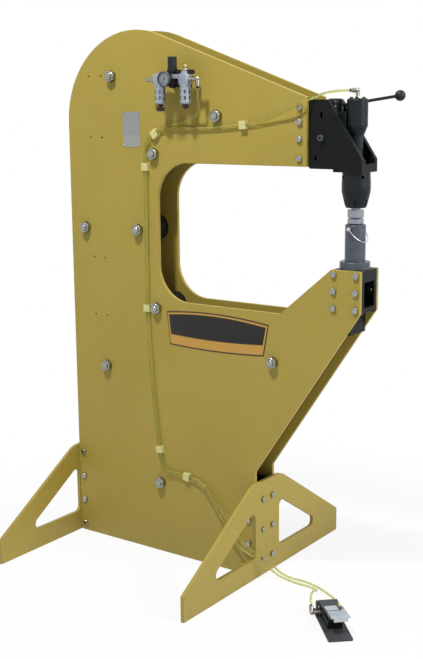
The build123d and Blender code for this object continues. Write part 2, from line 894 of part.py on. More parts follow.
with BuildPart() as lower_die:
    with BuildSketch(Plane.XZ):
        with BuildLine():
            crown_mid = (die_r / 2, crown_top - crown_drop / 4)
            ThreePointArc((0, crown_top), crown_mid, (die_r, crown_top - crown_drop))
            Polyline(
                (die_r, crown_top - crown_drop),
                (die_r, lower_die_low + 3),
                (die_r - 3, lower_die_low),
                (shank_r, lower_die_low),
                (shank_r, shank_low),
                (0, shank_low),
                (0, crown_top),
            )
        make_face()
    revolve(axis=Axis.Z)
    with Locations(facing((0, 0, pin_z), (0, 1, 0))):
        Cylinder(pin_r + run_fit, 4 * post_r, mode=Mode.SUBTRACT)
lower_die.part.position = (tool_x, 0, 0)

# Quick pin through the post, with its round wire bail
bail_side = Vector(cos(radians(bail_fall)), 0, -sin(radians(bail_fall)))
pin_mid = Vector(tool_x, 0, pin_z)
with BuildPart() as pin_bail:
    with BuildLine() as bail_route:
        ThreePointArc(
            pin_mid + Vector(0, -bail_half, 0),
            pin_mid + bail_side * bail_len,
            pin_mid + Vector(0, bail_half, 0),
        )
    with BuildSketch(Plane(origin=bail_route.line @ 0, z_dir=bail_route.line % 0)):
        Circle(bail_wire)
    sweep()

with BuildPart() as quick_pin:
    with Locations(facing((tool_x, -pin_half, pin_z), (0, 1, 0))):
        Cylinder(pin_r, 2 * pin_half, align=(Align.CENTER, Align.CENTER, Align.MIN))
        Cylinder(pin_head_r, pin_half - post_r - 0.2, align=(Align.CENTER, Align.CENTER, Align.MIN))
    chamfer(quick_pin.faces().sort_by(Axis.Y)[-1].edges(), 1.0)
    chamfer(quick_pin.faces().sort_by(Axis.Y)[0].edges(), 1.0)
    add(pin_bail.part, mode=Mode.SUBTRACT)

# Air unit on the near plate
unit_y = -(frame_half + unit_off)
regulator_x = x_rear + unit_x
filter_x = regulator_x - unit_pitch
lubricator_x = regulator_x + unit_pitch
body_low = unit_z - body_h / 2
body_top = unit_z + body_h / 2

with BuildPart() as body_form:
    with BuildSketch(Plane.XY.offset(waist_h - body_h / 2)) as body_section:
        RectangleRounded(body_w, body_d, body_round)
    extrude(amount=body_h - waist_h)
    extrude(body_section.sketch, amount=-waist_h, taper=waist_taper)
    fillet(body_form.faces().sort_by(Axis.Z)[-1].edges(), 2.0)

with BuildPart() as filter_body:
    with Locations((filter_x, unit_y, unit_z)):
        add(body_form.part)
    with Locations((filter_x, unit_y, body_top)):
        Cylinder(12.0, 4.0, align=(Align.CENTER, Align.CENTER, Align.MIN))
    with Locations(facing((filter_x - body_w / 2, unit_y, unit_z), (1, 0, 0))):
        Cylinder(plug_r + seat_fit, 8.0, align=(Align.CENTER, Align.CENTER, Align.MIN), mode=Mode.SUBTRACT)

with BuildPart() as regulator_body:
    with Locations((regulator_x, unit_y, unit_z)):
        add(body_form.part)
    with Locations((regulator_x, unit_y, body_top)):
        Cylinder(bonnet_r, knob_low - body_top - 0.5, align=(Align.CENTER, Align.CENTER, Align.MIN))
        Cylinder(knob_post_r, knob_top - body_top - 8, align=(Align.CENTER, Align.CENTER, Align.MIN))
    with Locations((regulator_x, unit_y, body_low)):
        Cylinder(12.0, 6.0, align=(Align.CENTER, Align.CENTER, Align.MAX))
        Cylinder(9.0, 10.0, align=(Align.CENTER, Align.CENTER, Align.MAX))

with BuildPart() as lubricator_body:
    with Locations((lubricator_x, unit_y, unit_z)):
        add(body_form.part)
    with Locations((lubricator_x, unit_y, body_top)):
        Cylinder(oiler_neck_r, dome_low - body_top, align=(Align.CENTER, Align.CENTER, Align.MIN))
    with Locations(facing((lubricator_x + body_w / 2, unit_y, unit_z), (-1, 0, 0))):
        Cylinder(plug_r + seat_fit, 8.0, align=(Align.CENTER, Align.CENTER, Align.MIN), mode=Mode.SUBTRACT)

guard_form = turned(
    [
        (guard_in, body_low),
        (guard_r + 1.2, body_low),
        (guard_r + 1.2, body_low - 5),
        (guard_r, body_low - 6),
        (guard_r, guard_low + 3),
        (guard_r - 3, guard_low),
        (drain_stem + run_fit, guard_low),
        (drain_stem + run_fit, guard_low + 2.5),
        (guard_in, guard_low + 2.5),
    ]
)
with BuildPart() as slotted_guard:
    add(guard_form)
    for height in (guard_low + 16, guard_low + 32):
        with Locations((0, 0, height)):
            with PolarLocations(guard_r, 6, start_angle=-57):
                Box(10, 6, 10, mode=Mode.SUBTRACT)
with BuildPart() as bowl_guards:
    with Locations((filter_x, unit_y, 0), (lubricator_x, unit_y, 0)):
        add(slotted_guard.part)

cup_form = turned(
    [
        (cup_in, body_low),
        (cup_r, body_low),
        (cup_r, cup_low + 2),
        (cup_r - 2, cup_low),
        (0, cup_low),
        (0, cup_low + 1.8),
        (cup_in, cup_low + 1.8),
    ]
)
with BuildPart() as bowl_cups:
    with Locations((filter_x, unit_y, 0), (lubricator_x, unit_y, 0)):
        add(cup_form)

with BuildPart() as filter_drain:
    with Locations((filter_x, unit_y, cup_low - 0.5)):
        Cylinder(drain_stem, cup_low - 0.5 - drain_low, align=(Align.CENTER, Align.CENTER, Align.MAX))
    with Locations((filter_x, unit_y, guard_low - 0.5)):
        Cylinder(7.0, 6.0, align=(Align.CENTER, Align.CENTER, Align.MAX))
    with Locations((filter_x, unit_y, drain_low)):
        Box(drain_wing, 3.5, 11.0, align=(Align.CENTER, Align.CENTER, Align.MIN))

with BuildPart() as lubricator_drain:
    with Locations((lubricator_x, unit_y, cup_low - 0.5)):
        Cylinder(drain_stem, cup_low - 0.5 - oil_drain_low, align=(Align.CENTER, Align.CENTER, Align.MAX))
    with Locations((lubricator_x, unit_y, guard_low - 0.5)):
        Cylinder(8.5, guard_low - 0.5 - oil_drain_low - 2, align=(Align.CENTER, Align.CENTER, Align.MAX))

with BuildPart() as regulator_knob:
    with Locations((regulator_x, unit_y, knob_low)):
        Cylinder(knob_r, knob_top - knob_low, align=(Align.CENTER, Align.CENTER, Align.MIN))
        Cylinder(knob_r + 2.0, 8.0, align=(Align.CENTER, Align.CENTER, Align.MIN))
    chamfer(regulator_knob.faces().sort_by(Axis.Z)[-1].edges(), 1.5)
    with Locations((regulator_x, unit_y, knob_low + 21)):
        with PolarLocations(knob_r + 0.6, 18):
            Cylinder(1.2, 22, mode=Mode.SUBTRACT)
    with Locations((regulator_x, unit_y, knob_low)):
        Cylinder(
            knob_post_r + run_fit,
            knob_top - knob_low - 5,
            align=(Align.CENTER, Align.CENTER, Align.MIN),
            mode=Mode.SUBTRACT,
        )

gauge_back = unit_y - body_d / 2 - gauge_stem
gauge_front = gauge_back - gauge_t
dial_y = gauge_front + gauge_deep
with BuildPart() as gauge_case:
    with Locations(facing((regulator_x, gauge_back + gauge_stem, unit_z), (0, -1, 0))):
        Cylinder(5.5, gauge_stem, align=(Align.CENTER, Align.CENTER, Align.MIN))
    with Locations(facing((regulator_x, gauge_back, unit_z), (0, -1, 0))):
        Cylinder(gauge_r, gauge_t, align=(Align.CENTER, Align.CENTER, Align.MIN))
    chamfer(gauge_case.faces().sort_by(Axis.Y)[0].edges(), 0.8)
    with Locations(facing((regulator_x, gauge_front, unit_z), (0, 1, 0))):
        Cylinder(
            gauge_r - gauge_lip,
            gauge_deep,
            align=(Align.CENTER, Align.CENTER, Align.MIN),
            mode=Mode.SUBTRACT,
        )
    with Locations(facing((regulator_x, dial_y, unit_z), (0, -1, 0))):
        Cylinder(1.0, gauge_deep - 2.2, align=(Align.CENTER, Align.CENTER, Align.MIN))

with BuildPart() as gauge_lens:
    with Locations(facing((regulator_x, gauge_front + 0.4, unit_z), (0, 1, 0))):
        Cylinder(gauge_r - gauge_lip, 1.6, align=(Align.CENTER, Align.CENTER, Align.MIN))

with BuildPart() as gauge_needle:
    with BuildSketch(Plane((regulator_x, dial_y - 1.0, unit_z), x_dir=(1, 0, 0), z_dir=(0, -1, 0))):
        Circle(2.6)
        with Locations((-8.0 * cos(radians(45)), -8.0 * sin(radians(45)))):
            Rectangle(13.0, 1.1, rotation=45)
        Circle(1.0 + run_fit, mode=Mode.SUBTRACT)
    extrude(amount=0.9)

with BuildPart() as sight_dome:
    with Locations((lubricator_x, unit_y, dome_low)):
        Cylinder(dome_r, dome_top - dome_low, align=(Align.CENTER, Align.CENTER, Align.MIN))
    fillet(sight_dome.faces().sort_by(Axis.Z)[-1].edges(), 4.5)
    with Locations((lubricator_x, unit_y, dome_low)):
        Cylinder(
            2.0 + run_fit, 40.0, align=(Align.CENTER, Align.CENTER, Align.MIN), mode=Mode.SUBTRACT
        )

with BuildPart() as drip_knob:
    with Locations((lubricator_x, unit_y, dome_top + 0.4)):
        Cylinder(drip_r, drip_top - dome_top - 0.4, align=(Align.CENTER, Align.CENTER, Align.MIN))
    chamfer(drip_knob.faces().sort_by(Axis.Z)[-1].edges(), 0.8)
    with Locations((lubricator_x, unit_y, drip_top)):
        Box(2 * drip_r + 2, 1.2, 3.0, mode=Mode.SUBTRACT)
    with Locations((lubricator_x, unit_y, dome_low + 1)):
        Cylinder(2.0, dome_top - dome_low, align=(Align.CENTER, Align.CENTER, Align.MIN))

bracket_t = unit_pitch - body_w
with BuildPart() as unit_brackets:
    with Locations(*[(regulator_x + s * unit_pitch / 2, 0, unit_z) for s in (-1, 1)]):
        with Locations((0, unit_y - body_d / 2 + 4, 0)):
            Box(bracket_t, unit_off + body_d / 2 - 4, body_h, align=(Align.CENTER, Align.MIN, Align.CENTER))
        with Locations((0, -frame_half, 0)):
            Box(24, 4, 40, align=(Align.CENTER, Align.MAX, Align.CENTER))
    with Locations((regulator_x - unit_pitch / 2, unit_y - yoke_front, body_top)):
        Box(
            2 * unit_pitch,
            yoke_front + yoke_back,
            yoke_t,
            align=(Align.MIN, Align.MIN, Align.MIN),
        )
    ear_off = (unit_pitch - ear_w) / 2
    with Locations(*[(lubricator_x + s * ear_off, unit_y - yoke_front, body_top) for s in (-1, 1)]):
        Box(ear_w, yoke_front + yoke_back, ear_h, align=(Align.CENTER, Align.MIN, Align.MIN))
    with Locations((regulator_x, unit_y, body_top)):
        Cylinder(bonnet_r + seat_fit, 3 * yoke_t, mode=Mode.SUBTRACT)
    with Locations((lubricator_x, unit_y, body_top)):
        Cylinder(oiler_neck_r + seat_fit, 3 * yoke_t, mode=Mode.SUBTRACT)

with BuildPart() as inlet_plug:
    with Locations(facing((filter_x - body_w / 2, unit_y, unit_z), (-1, 0, 0))):
        Cylinder(plug_r, plug_len, align=(Align.CENTER, Align.CENTER, Align.MIN))
        Cylinder(9.0, 3.0, align=(Align.CENTER, Align.CENTER, Align.MIN))
    with BuildSketch(Plane.YZ.offset(filter_x - body_w / 2 - 3)):
        with Locations((unit_y, unit_z)):
            RegularPolygon(8.0, 6, major_radius=False)
    extrude(amount=-6)
    with Locations(facing((filter_x - body_w / 2, unit_y, unit_z), (1, 0, 0))):
        Cylinder(plug_r, 8.0, align=(Align.CENTER, Align.CENTER, Align.MIN))
    with Locations(facing((filter_x - body_w / 2 - plug_len, unit_y, unit_z), (1, 0, 0))):
        Cylinder(3.0, plug_len, align=(Align.CENTER, Align.CENTER, Align.MIN), mode=Mode.SUBTRACT)

outlet_x = lubricator_x + body_w / 2 + outlet_reach
with BuildPart() as outlet_elbow:
    with Locations(facing((lubricator_x + body_w / 2 - 8, unit_y, unit_z), (1, 0, 0))):
        Cylinder(plug_r, outlet_reach + 8, align=(Align.CENTER, Align.CENTER, Align.MIN))
    with BuildSketch(Plane.YZ.offset(lubricator_x + body_w / 2)):
        with Locations((unit_y, unit_z)):
            RegularPolygon(8.0, 6, major_radius=False)
    extrude(amount=6)
    with Locations((outlet_x, unit_y, unit_z)):
        Sphere(7.2)
        Cylinder(6.5, outlet_drop, align=(Align.CENTER, Align.CENTER, Align.MAX))
    with Locations((outlet_x, unit_y, unit_z - outlet_drop)):
        Cylinder(hose_r, hose_bite, align=(Align.CENTER, Align.CENTER, Align.MIN), mode=Mode.SUBTRACT)

# Foot pedal, built on a plane whose X runs from the heel edge to the toe
toe_dir = (-cos(radians(pedal_turn)), sin(radians(pedal_turn)), 0)
pedal_plane = Plane(origin=(x_rear + heel_reach, -pedal_side, 0), x_dir=toe_dir, z_dir=(0, 0, 1))
rise = radians(tread_rise)


def on_pedal(a, y, z):
    """Point of the pedal's own frame in the shared frame."""
    return pedal_plane.from_local_coords(Vector(a, y, z))


side_dir = pedal_plane.y_dir
heel_up = pedal_plane.x_dir * -cos(rise) + pedal_plane.z_dir * sin(rise)
tread_normal = pedal_plane.x_dir * sin(rise) + pedal_plane.z_dir * cos(rise)
tread_plane = Plane(origin=on_pedal(pivot_a, 0, pivot_z + tread_over), x_dir=heel_up, z_dir=tread_normal)
pivot_point = on_pedal(pivot_a, 0, pivot_z)

with BuildPart(pedal_plane) as pedal_base:
    with Locations((pedal_len / 2, 0, 0)):
        Box(pedal_len, pedal_w, pedal_t, align=(Align.CENTER, Align.CENTER, Align.MIN))
    fillet(pedal_base.edges().filter_by(Axis.Z), pedal_corner)
    for s in (-1, 1):
        with Locations((pivot_a, s * (ear_in + ear_t / 2), pedal_t)):
            Box(16, ear_t, pivot_z - pedal_t, align=(Align.CENTER, Align.CENTER, Align.MIN))
        with Locations(facing((pivot_a, s * (ear_in + ear_t / 2), pivot_z), (0, 1, 0))):
            Cylinder(8, ear_t)
    with Locations(facing((pivot_a, 0, pivot_z), (0, 1, 0))):
        Cylinder(pivot_r + seat_fit, 2 * pedal_w, mode=Mode.SUBTRACT)

with BuildPart() as pedal_pin:
    with Locations(facing(pivot_point, side_dir)):
        Cylinder(pivot_r, 2 * (ear_in + ear_t) + 6)

# Treadle on a tilted plane: x from over the pivot toward the heel, z = 0 on the tread surface
lug_in = tread_w / 2 - 3
lug_out = ear_in - 0.4
with BuildPart(tread_plane) as pedal_treadle:
    with Locations((tread_len / 2 - 4, 0, -tread_t / 2)):
        Box(tread_len + 8, tread_w, tread_t)
    fillet(pedal_treadle.edges().filter_by(Axis((0, 0, 0), tuple(tread_normal))), 3.0)
    with Locations((tread_window, 0, 0)):
        Box(tread_window_len, tread_window_w, 4 * tread_t, mode=Mode.SUBTRACT)
    for s in (-1, 1):
        with Locations((0, s * (lug_in + lug_out) / 2, -tread_t)):
            Box(15, lug_out - lug_in, tread_over, align=(Align.CENTER, Align.CENTER, Align.MAX))
    with Locations(facing(tread_plane.to_local_coords(pivot_point), (0, 1, 0))):
        Cylinder(pivot_r + run_fit, 2 * pedal_w, mode=Mode.SUBTRACT)

pad_back = tread_len - pad_len
with BuildPart(tread_plane) as tread_pad:
    with Locations((tread_len - pad_len / 2 + 1, pad_shift, 0)):
        Box(pad_len + 2, pad_w, pad_t, align=(Align.CENTER, Align.CENTER, Align.MIN))
    with Locations((tread_len, pad_shift, pad_t)):
        Box(2, lip_w, pad_t + 9, align=(Align.MIN, Align.CENTER, Align.MAX))
    for row in range(pad_ribs):
        with Locations((pad_back + 7 + 8.5 * row, pad_shift, pad_t)):
            Box(3.5, pad_w - 6, 1.2, align=(Align.CENTER, Align.CENTER, Align.MIN))

# Pedal valve, plunger and return spring
tread_under = pivot_z + tread_over - tread_t / cos(rise) + (pivot_a - plunger_a) * tan(rise)
plunger_top = tread_under - plunger_gap
with BuildPart(pedal_plane) as pedal_valve:
    with Locations(((valve_back + valve_front) / 2, 0, pedal_t)):
        Box(
            valve_front - valve_back,
            2 * valve_half,
            valve_top - pedal_t,
            align=(Align.CENTER, Align.CENTER, Align.MIN),
        )
    chamfer(pedal_valve.faces().sort_by(Axis.Z)[-1].edges(), 1.5)
    with Locations((plunger_a, 0, pedal_t + 3)):
        Cylinder(plunger_r + run_fit, 60, align=(Align.CENTER, Align.CENTER, Align.MIN), mode=Mode.SUBTRACT)
    with Locations(facing((port_a, valve_half, port_z), (0, -1, 0))):
        Cylinder(port_r + seat_fit, 8, align=(Align.CENTER, Align.CENTER, Align.MIN), mode=Mode.SUBTRACT)
    with Locations(facing((port_a, -valve_half, port_z), (0, 1, 0))):
        Cylinder(port_r + seat_fit, 8, align=(Align.CENTER, Align.CENTER, Align.MIN), mode=Mode.SUBTRACT)

with BuildPart(pedal_plane) as pedal_plunger:
    with Locations((plunger_a, 0, plunger_low)):
        Cylinder(plunger_r, plunger_top - plunger_low, align=(Align.CENTER, Align.CENTER, Align.MIN))
    fillet(pedal_plunger.faces().sort_by(Axis.Z)[-1].edges(), 1.5)

near_out = pedal_plane.x_dir * cos(radians(elbow_rise)) + pedal_plane.z_dir * sin(radians(elbow_rise))
near_corner = on_pedal(port_a, elbow_out_near, port_z)
far_out = pedal_plane.x_dir
far_corner = on_pedal(port_a, -elbow_out_far, port_z)
elbow_ends = [
    (near_corner, near_out, side_dir, elbow_out_near),
    (far_corner, far_out, side_dir * -1, elbow_out_far),
]
with BuildPart() as pedal_elbows:
    for corner, outward, sideways, reach in elbow_ends:
        with Locations(facing(corner, sideways * -1)):
            Cylinder(port_r, reach - valve_half + 8, align=(Align.CENTER, Align.CENTER, Align.MIN))
        with Locations(facing(corner - sideways * (reach - valve_half), sideways)):
            Cylinder(7.5, 5, align=(Align.CENTER, Align.CENTER, Align.MIN))
        with Locations(corner):
            Sphere(elbow_r + 0.4)
        with Locations(facing(corner, outward, across=sideways)):
            Cylinder(elbow_r, elbow_len, align=(Align.CENTER, Align.CENTER, Align.MIN))
        with Locations(facing(corner + outward * elbow_len, outward * -1, across=sideways)):
            Cylinder(
                hose_r, hose_bite, align=(Align.CENTER, Align.CENTER, Align.MIN), mode=Mode.SUBTRACT
            )

# Return spring round the plunger: each quarter turn is two tangent arcs
spring_low = valve_top + spring_wire
spring_high = tread_under - spring_r * tan(rise) - spring_wire - 0.3
spring_steps = 4 * spring_turns
spring_points = []
spring_ways = []
climb = (spring_high - spring_low) / (2 * pi * spring_turns)
for step in range(spring_steps + 1):
    turn = 2 * pi * step / 4
    spring_points.append(
        on_pedal(
            plunger_a + spring_r * cos(turn), spring_r * sin(turn), spring_low + climb * turn
        )
    )
    way = (
        pedal_plane.x_dir * (-spring_r * sin(turn))
        + pedal_plane.y_dir * (spring_r * cos(turn))
        + pedal_plane.z_dir * climb
    )
    spring_ways.append(way.normalized())

with BuildPart() as pedal_spring:
    with BuildLine() as spring_route:
        for step in range(spring_steps):
            start, stop = spring_points[step], spring_points[step + 1]
            way_in, way_out = spring_ways[step], spring_ways[step + 1]
            span = stop - start
            both = span.dot(way_in + way_out)
            bend = 2 * (1 - way_in.dot(way_out))
            reach = (-both + sqrt(both**2 + bend * span.dot(span))) / bend
            joint = (start + stop + (way_in - way_out) * reach) * 0.5
            way_mid = ((stop - way_out * reach) - (start + way_in * reach)).normalized()
            TangentArc(start, joint, tangent=way_in)
            TangentArc(joint, stop, tangent=way_mid)
    with BuildSketch(Plane(origin=spring_points[0], z_dir=spring_ways[0])):
        Circle(spring_wire)
    sweep()
print("spring gap between turns", round(2 * pi * climb - 2 * spring_wire, 2))

# Hoses. Points are (from the rear edge, Y, height); the near plate's clips hold the first list of each.
# The delivery hose is placed from the tool axis as far as the arm's clip.
hose_y = -(frame_half + hose_off)
tool_from_rear = spine_depth + throat_depth
outlet_end = (outlet_x - x_rear, unit_y, unit_z - outlet_drop + hose_bite)
supply_points = [
    outlet_end,
    (outlet_x - x_rear, unit_y, 1350),
    (506, -80, 1318),
    (474, -62, 1292),
    (424, hose_y, 1281),
    (372, hose_y, 1274),
    (339.8, hose_y, 1261.6),
    (317.4, hose_y, 1244.8),
    (293, hose_y, 1222),
    (291.6, hose_y, 1171),
    (290.6, hose_y, 1143),
    (288.8, hose_y, 762),
    (289.2, hose_y, 734),
    (300, hose_y, 560),
    (323.8, hose_y, 337.2),
    (328.3, hose_y, 309.5),
    (338, hose_y, 254.5),
    (414.8, hose_y, 252.7),
    (442.8, hose_y, 251.3),
]
delivery_points = [
    (tool_from_rear - inlet_reach + hose_bite, 0, inlet_z),
    (tool_from_rear - 46, 0, inlet_z),
    (tool_from_rear - 76, -9, 1360),
    (tool_from_rear - 96, -34, 1351),
    (tool_from_rear - 114, -64, 1338),
    (tool_from_rear - 147, -71, 1324),
    (tool_from_rear - 196, -64, 1305),
    (tool_from_rear - 244, hose_y, 1286),
    (tool_from_rear - 298, hose_y, 1277.3),
    (tool_from_rear - 326, hose_y, 1274.9),
    (545, hose_y, 1268),
    (455, hose_y, 1266),
    (380, hose_y, 1266.5),
    (344.6, hose_y, 1255.2),
    (322.2, hose_y, 1238.4),
    (301, hose_y, 1218),
    (299.6, hose_y, 1171),
    (298.6, hose_y, 1143),
    (296.8, hose_y, 762),
    (297.2, hose_y, 734),
    (308, hose_y, 560),
    (331.7, hose_y, 338.4),
    (336.2, hose_y, 310.8),
    (345, hose_y, 262.5),
    (415.2, hose_y, 260.7),
    (443.2, hose_y, 259.3),
]
near_end = near_corner + near_out * (elbow_len - hose_bite)
far_end = far_corner + far_out * (elbow_len - hose_bite)
near_lead = near_corner + near_out * 42
far_lead = far_corner + far_out * 48
supply_free_points = [
    supply_points[-1],
    (476, hose_y, 249.64),
    (524, -62, 203),
    (566, -68, 150),
    (612, -76, 106),
    (652, -82, 81),
    (690, -78, 75),
    (712, -58, 48),
    (730, -36, 16),
    (766, -24, 3.4),
    (796, -29, 3.4),
    (826, -27, 3.4),
    (858, -33, 3.4),
    (882, -72, 20),
    (902, -124, 47),
    (near_lead.X - x_rear, near_lead.Y, near_lead.Z),
    (near_end.X - x_rear, near_end.Y, near_end.Z),
]
delivery_free_points = [
    delivery_points[-1],
    (478, hose_y, 257.56),
    (529, -60, 211),
    (572, -64, 160),
    (616, -69, 117),
    (655, -72.5, 90),
    (692, -69, 84),
    (716, -50, 56),
    (734, -26, 20),
    (764, -8, 3.4),
    (800, -4, 3.4),
    (842, -12, 3.4),
    (888, -33, 3.4),
    (930, -60, 6),
    (far_lead.X - x_rear, far_lead.Y, far_lead.Z),
    (far_end.X - x_rear, far_end.Y, far_end.Z),
]


def placed(points):
    """Hose points moved from the rear edge into the shared frame."""
    return [(x + x_rear, y, z) for x, y, z in points]


supply_hose = hose(placed(supply_points))
delivery_hose = hose(placed(delivery_points))
supply_hose_free = hose(placed(supply_free_points))
delivery_hose_free = hose(placed(delivery_free_points))

# Clips on the near plate: (from the rear edge, height, direction of the hoses)
clip_places = [
    (331.0, 1250.0, (-0.8, 0, -0.6)),
    (295.1, 1157.0, (-0.035, 0, -1)),
    (293.0, 748.0, (0.014, 0, -1)),
    (330.0, 324.0, (0.16, 0, -0.987)),
    (429.0, 256.2, (1, 0, -0.05)),
    (tool_from_rear - 312.0, 1276.1, (-1, 0, -0.086)),
]
with BuildPart() as hose_clips:
    for x, z, along in clip_places:
        with Locations(facing((x_rear + x, -frame_half, z), (0, -1, 0), across=along)):
            Box(clip_len, clip_w, clip_pad, align=(Align.CENTER, Align.CENTER, Align.MIN))
            Box(clip_saddle, clip_w, clip_h, align=(Align.CENTER, Align.CENTER, Align.MIN))
    add(supply_hose.part, mode=Mode.SUBTRACT)
    add(delivery_hose.part, mode=Mode.SUBTRACT)

pieces = {
    "side_plate_near": side_plate_near,
    "side_plate_far": side_plate_far,
    "tie_spacers": tie_spacers,
    "tie_bolts": tie_bolts,
    "tie_washers": tie_washers,
    "tie_nuts": tie_nuts,
    "front_foot": front_foot,
    "rear_foot": rear_foot,
    "foot_channels": foot_channels,
    "foot_bolts": foot_bolts,
    "head_bracket": head_bracket,
    "head_bolts": head_bolts,
    "hammer_block": hammer_block,
    "block_screws": block_screws,
    "hammer_head": hammer_head,
    "hammer_barrel": hammer_barrel,
    "nose_retainer": nose_retainer,
    "guide_bush": guide_bush,
    "ram_piston": ram_piston,
    "upper_die": upper_die,
    "hammer_elbow": hammer_elbow,
    "clamp_hub": clamp_hub,
    "clamp_arm": clamp_arm,
    "ball_knob": ball_knob,
    "anvil_bracket": anvil_bracket,
    "jaw_bolts": jaw_bolts,
    "anvil_post": anvil_post,
    "post_collar": post_collar,
    "lower_die": lower_die,
    "quick_pin": quick_pin,
    "pin_bail": pin_bail,
    "hose_clips": hose_clips,
    "filter_body": filter_body,
    "regulator_body": regulator_body,
    "lubricator_body": lubricator_body,
    "bowl_guards": bowl_guards,
    "bowl_cups": bowl_cups,
    "filter_drain": filter_drain,
    "lubricator_drain": lubricator_drain,
    "regulator_knob": regulator_knob,
    "gauge_case": gauge_case,
    "gauge_lens": gauge_lens,
    "gauge_needle": gauge_needle,
    "sight_dome": sight_dome,
    "drip_knob": drip_knob,
    "unit_brackets": unit_brackets,
    "inlet_plug": inlet_plug,
    "outlet_elbow": outlet_elbow,
    "pedal_base": pedal_base,
    "pedal_pin": pedal_pin,
    "pedal_treadle": pedal_treadle,
    "tread_pad": tread_pad,
    "pedal_valve": pedal_valve,
    "pedal_plunger": pedal_plunger,
    "pedal_elbows": pedal_elbows,
    "pedal_spring": pedal_spring,
    "supply_hose": supply_hose,
    "delivery_hose": delivery_hose,
    "supply_hose_free": supply_hose_free,
    "delivery_hose_free": delivery_hose_free,
}
for name, piece in pieces.items():
    piece.part.label = name
    export_step(piece.part, f"parts/{name}.step")
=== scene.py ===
# %% [markdown]
# # Dressing a planishing hammer
#
# The object is a floor-standing planishing hammer: two painted steel plates cut like a letter C stand on
# cross feet, an air hammer hangs on the upper arm, an anvil post stands on the lower jaw, and an air unit
# and a foot pedal work it. The engineering model already holds every rigid piece at its true size and
# place. This lesson adds what such a model leaves out: the finishes, the hoses, the dial, the plates and
# the small trim.

from math import cos, pi, radians, sin

import bmesh
import bpy
from mathutils import Matrix, Vector


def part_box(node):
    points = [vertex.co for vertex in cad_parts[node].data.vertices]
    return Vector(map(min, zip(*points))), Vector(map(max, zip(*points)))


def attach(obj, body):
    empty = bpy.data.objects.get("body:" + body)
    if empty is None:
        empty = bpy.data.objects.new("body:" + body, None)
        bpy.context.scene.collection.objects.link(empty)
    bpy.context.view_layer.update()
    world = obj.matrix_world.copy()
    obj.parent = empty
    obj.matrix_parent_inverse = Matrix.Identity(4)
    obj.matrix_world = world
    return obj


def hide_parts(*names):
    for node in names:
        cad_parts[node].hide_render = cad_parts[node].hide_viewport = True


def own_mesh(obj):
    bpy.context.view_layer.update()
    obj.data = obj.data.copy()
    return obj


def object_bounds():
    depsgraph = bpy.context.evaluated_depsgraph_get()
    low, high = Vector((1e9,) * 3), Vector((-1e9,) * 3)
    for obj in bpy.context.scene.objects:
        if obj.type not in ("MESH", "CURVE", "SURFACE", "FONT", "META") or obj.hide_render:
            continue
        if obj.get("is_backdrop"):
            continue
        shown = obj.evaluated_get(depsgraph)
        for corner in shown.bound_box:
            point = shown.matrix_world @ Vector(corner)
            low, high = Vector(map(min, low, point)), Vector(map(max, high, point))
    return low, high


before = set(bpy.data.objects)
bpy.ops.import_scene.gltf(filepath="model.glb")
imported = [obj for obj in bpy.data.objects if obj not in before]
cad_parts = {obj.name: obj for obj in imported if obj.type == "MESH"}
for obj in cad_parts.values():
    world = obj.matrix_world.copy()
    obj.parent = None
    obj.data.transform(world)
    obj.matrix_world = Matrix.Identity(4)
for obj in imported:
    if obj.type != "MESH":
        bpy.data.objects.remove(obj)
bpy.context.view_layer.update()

# %% [markdown]
# ## Camera
#
# The photograph was taken from about chest height, a little to the right of the machine, with a longish
# lens that keeps the uprights nearly parallel. One could eyeball such a view. Here the angles come from
# the way the plate edges, bolt rows and feet run in the picture, so the model and the photograph can be
# laid over each other.

# %% Camera
lens_mm = 61.53
viewpoint = (1.8043, -2.5785, 1.3359)
turn_left, tip_down, lean = 0.62398, 0.19904, -0.00853
bpy.ops.object.select_all(action="DESELECT")
bpy.ops.object.camera_add()
camera = bpy.context.object
camera.name = "studio_camera"
camera.data.lens = lens_mm
turned = Matrix.Rotation(turn_left, 4, "Z")
tipped = Matrix.Rotation(pi / 2 - tip_down, 4, "X")
leaning = Matrix.Rotation(lean, 4, "Z")
camera.matrix_world = Matrix.Translation(viewpoint) @ turned @ tipped @ leaning
bpy.context.scene.camera = camera
print("camera", [round(v, 3) for v in camera.location], "lens", camera.data.lens)

# %% [markdown]
# ## Places on the machine
#
# Everything is measured as on the drawing: from the rear edge of the side plate, from the mid-plane and
# from the floor, in millimetres. One small function turns such a place into metres in the shared frame.

# %% Places
rear_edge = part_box("side_plate_near")[0].x
plate_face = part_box("side_plate_near")[0].y


def spot(x, y, z):
    """Place in metres from millimetres ahead of the rear edge, off the mid-plane and over the floor."""
    return Vector((rear_edge + x / 1000, y / 1000, z / 1000))


print("rear edge", round(rear_edge, 4), "near plate face", round(plate_face, 4))

# %% [markdown]
# ## Hoses
#
# Two thin polyurethane hoses carry the air: one from the air unit down to the pedal, one from the pedal
# up to the hammer. Six clips hold them on the plate, and below the last clip they hang free, cross the
# front foot, lie on the floor and rise into the pedal's elbows. A hose could be a swept mesh, but a curve
# with a round bevel stays smooth and keeps its own length, so each one is a single spline that
# follows the route's points.

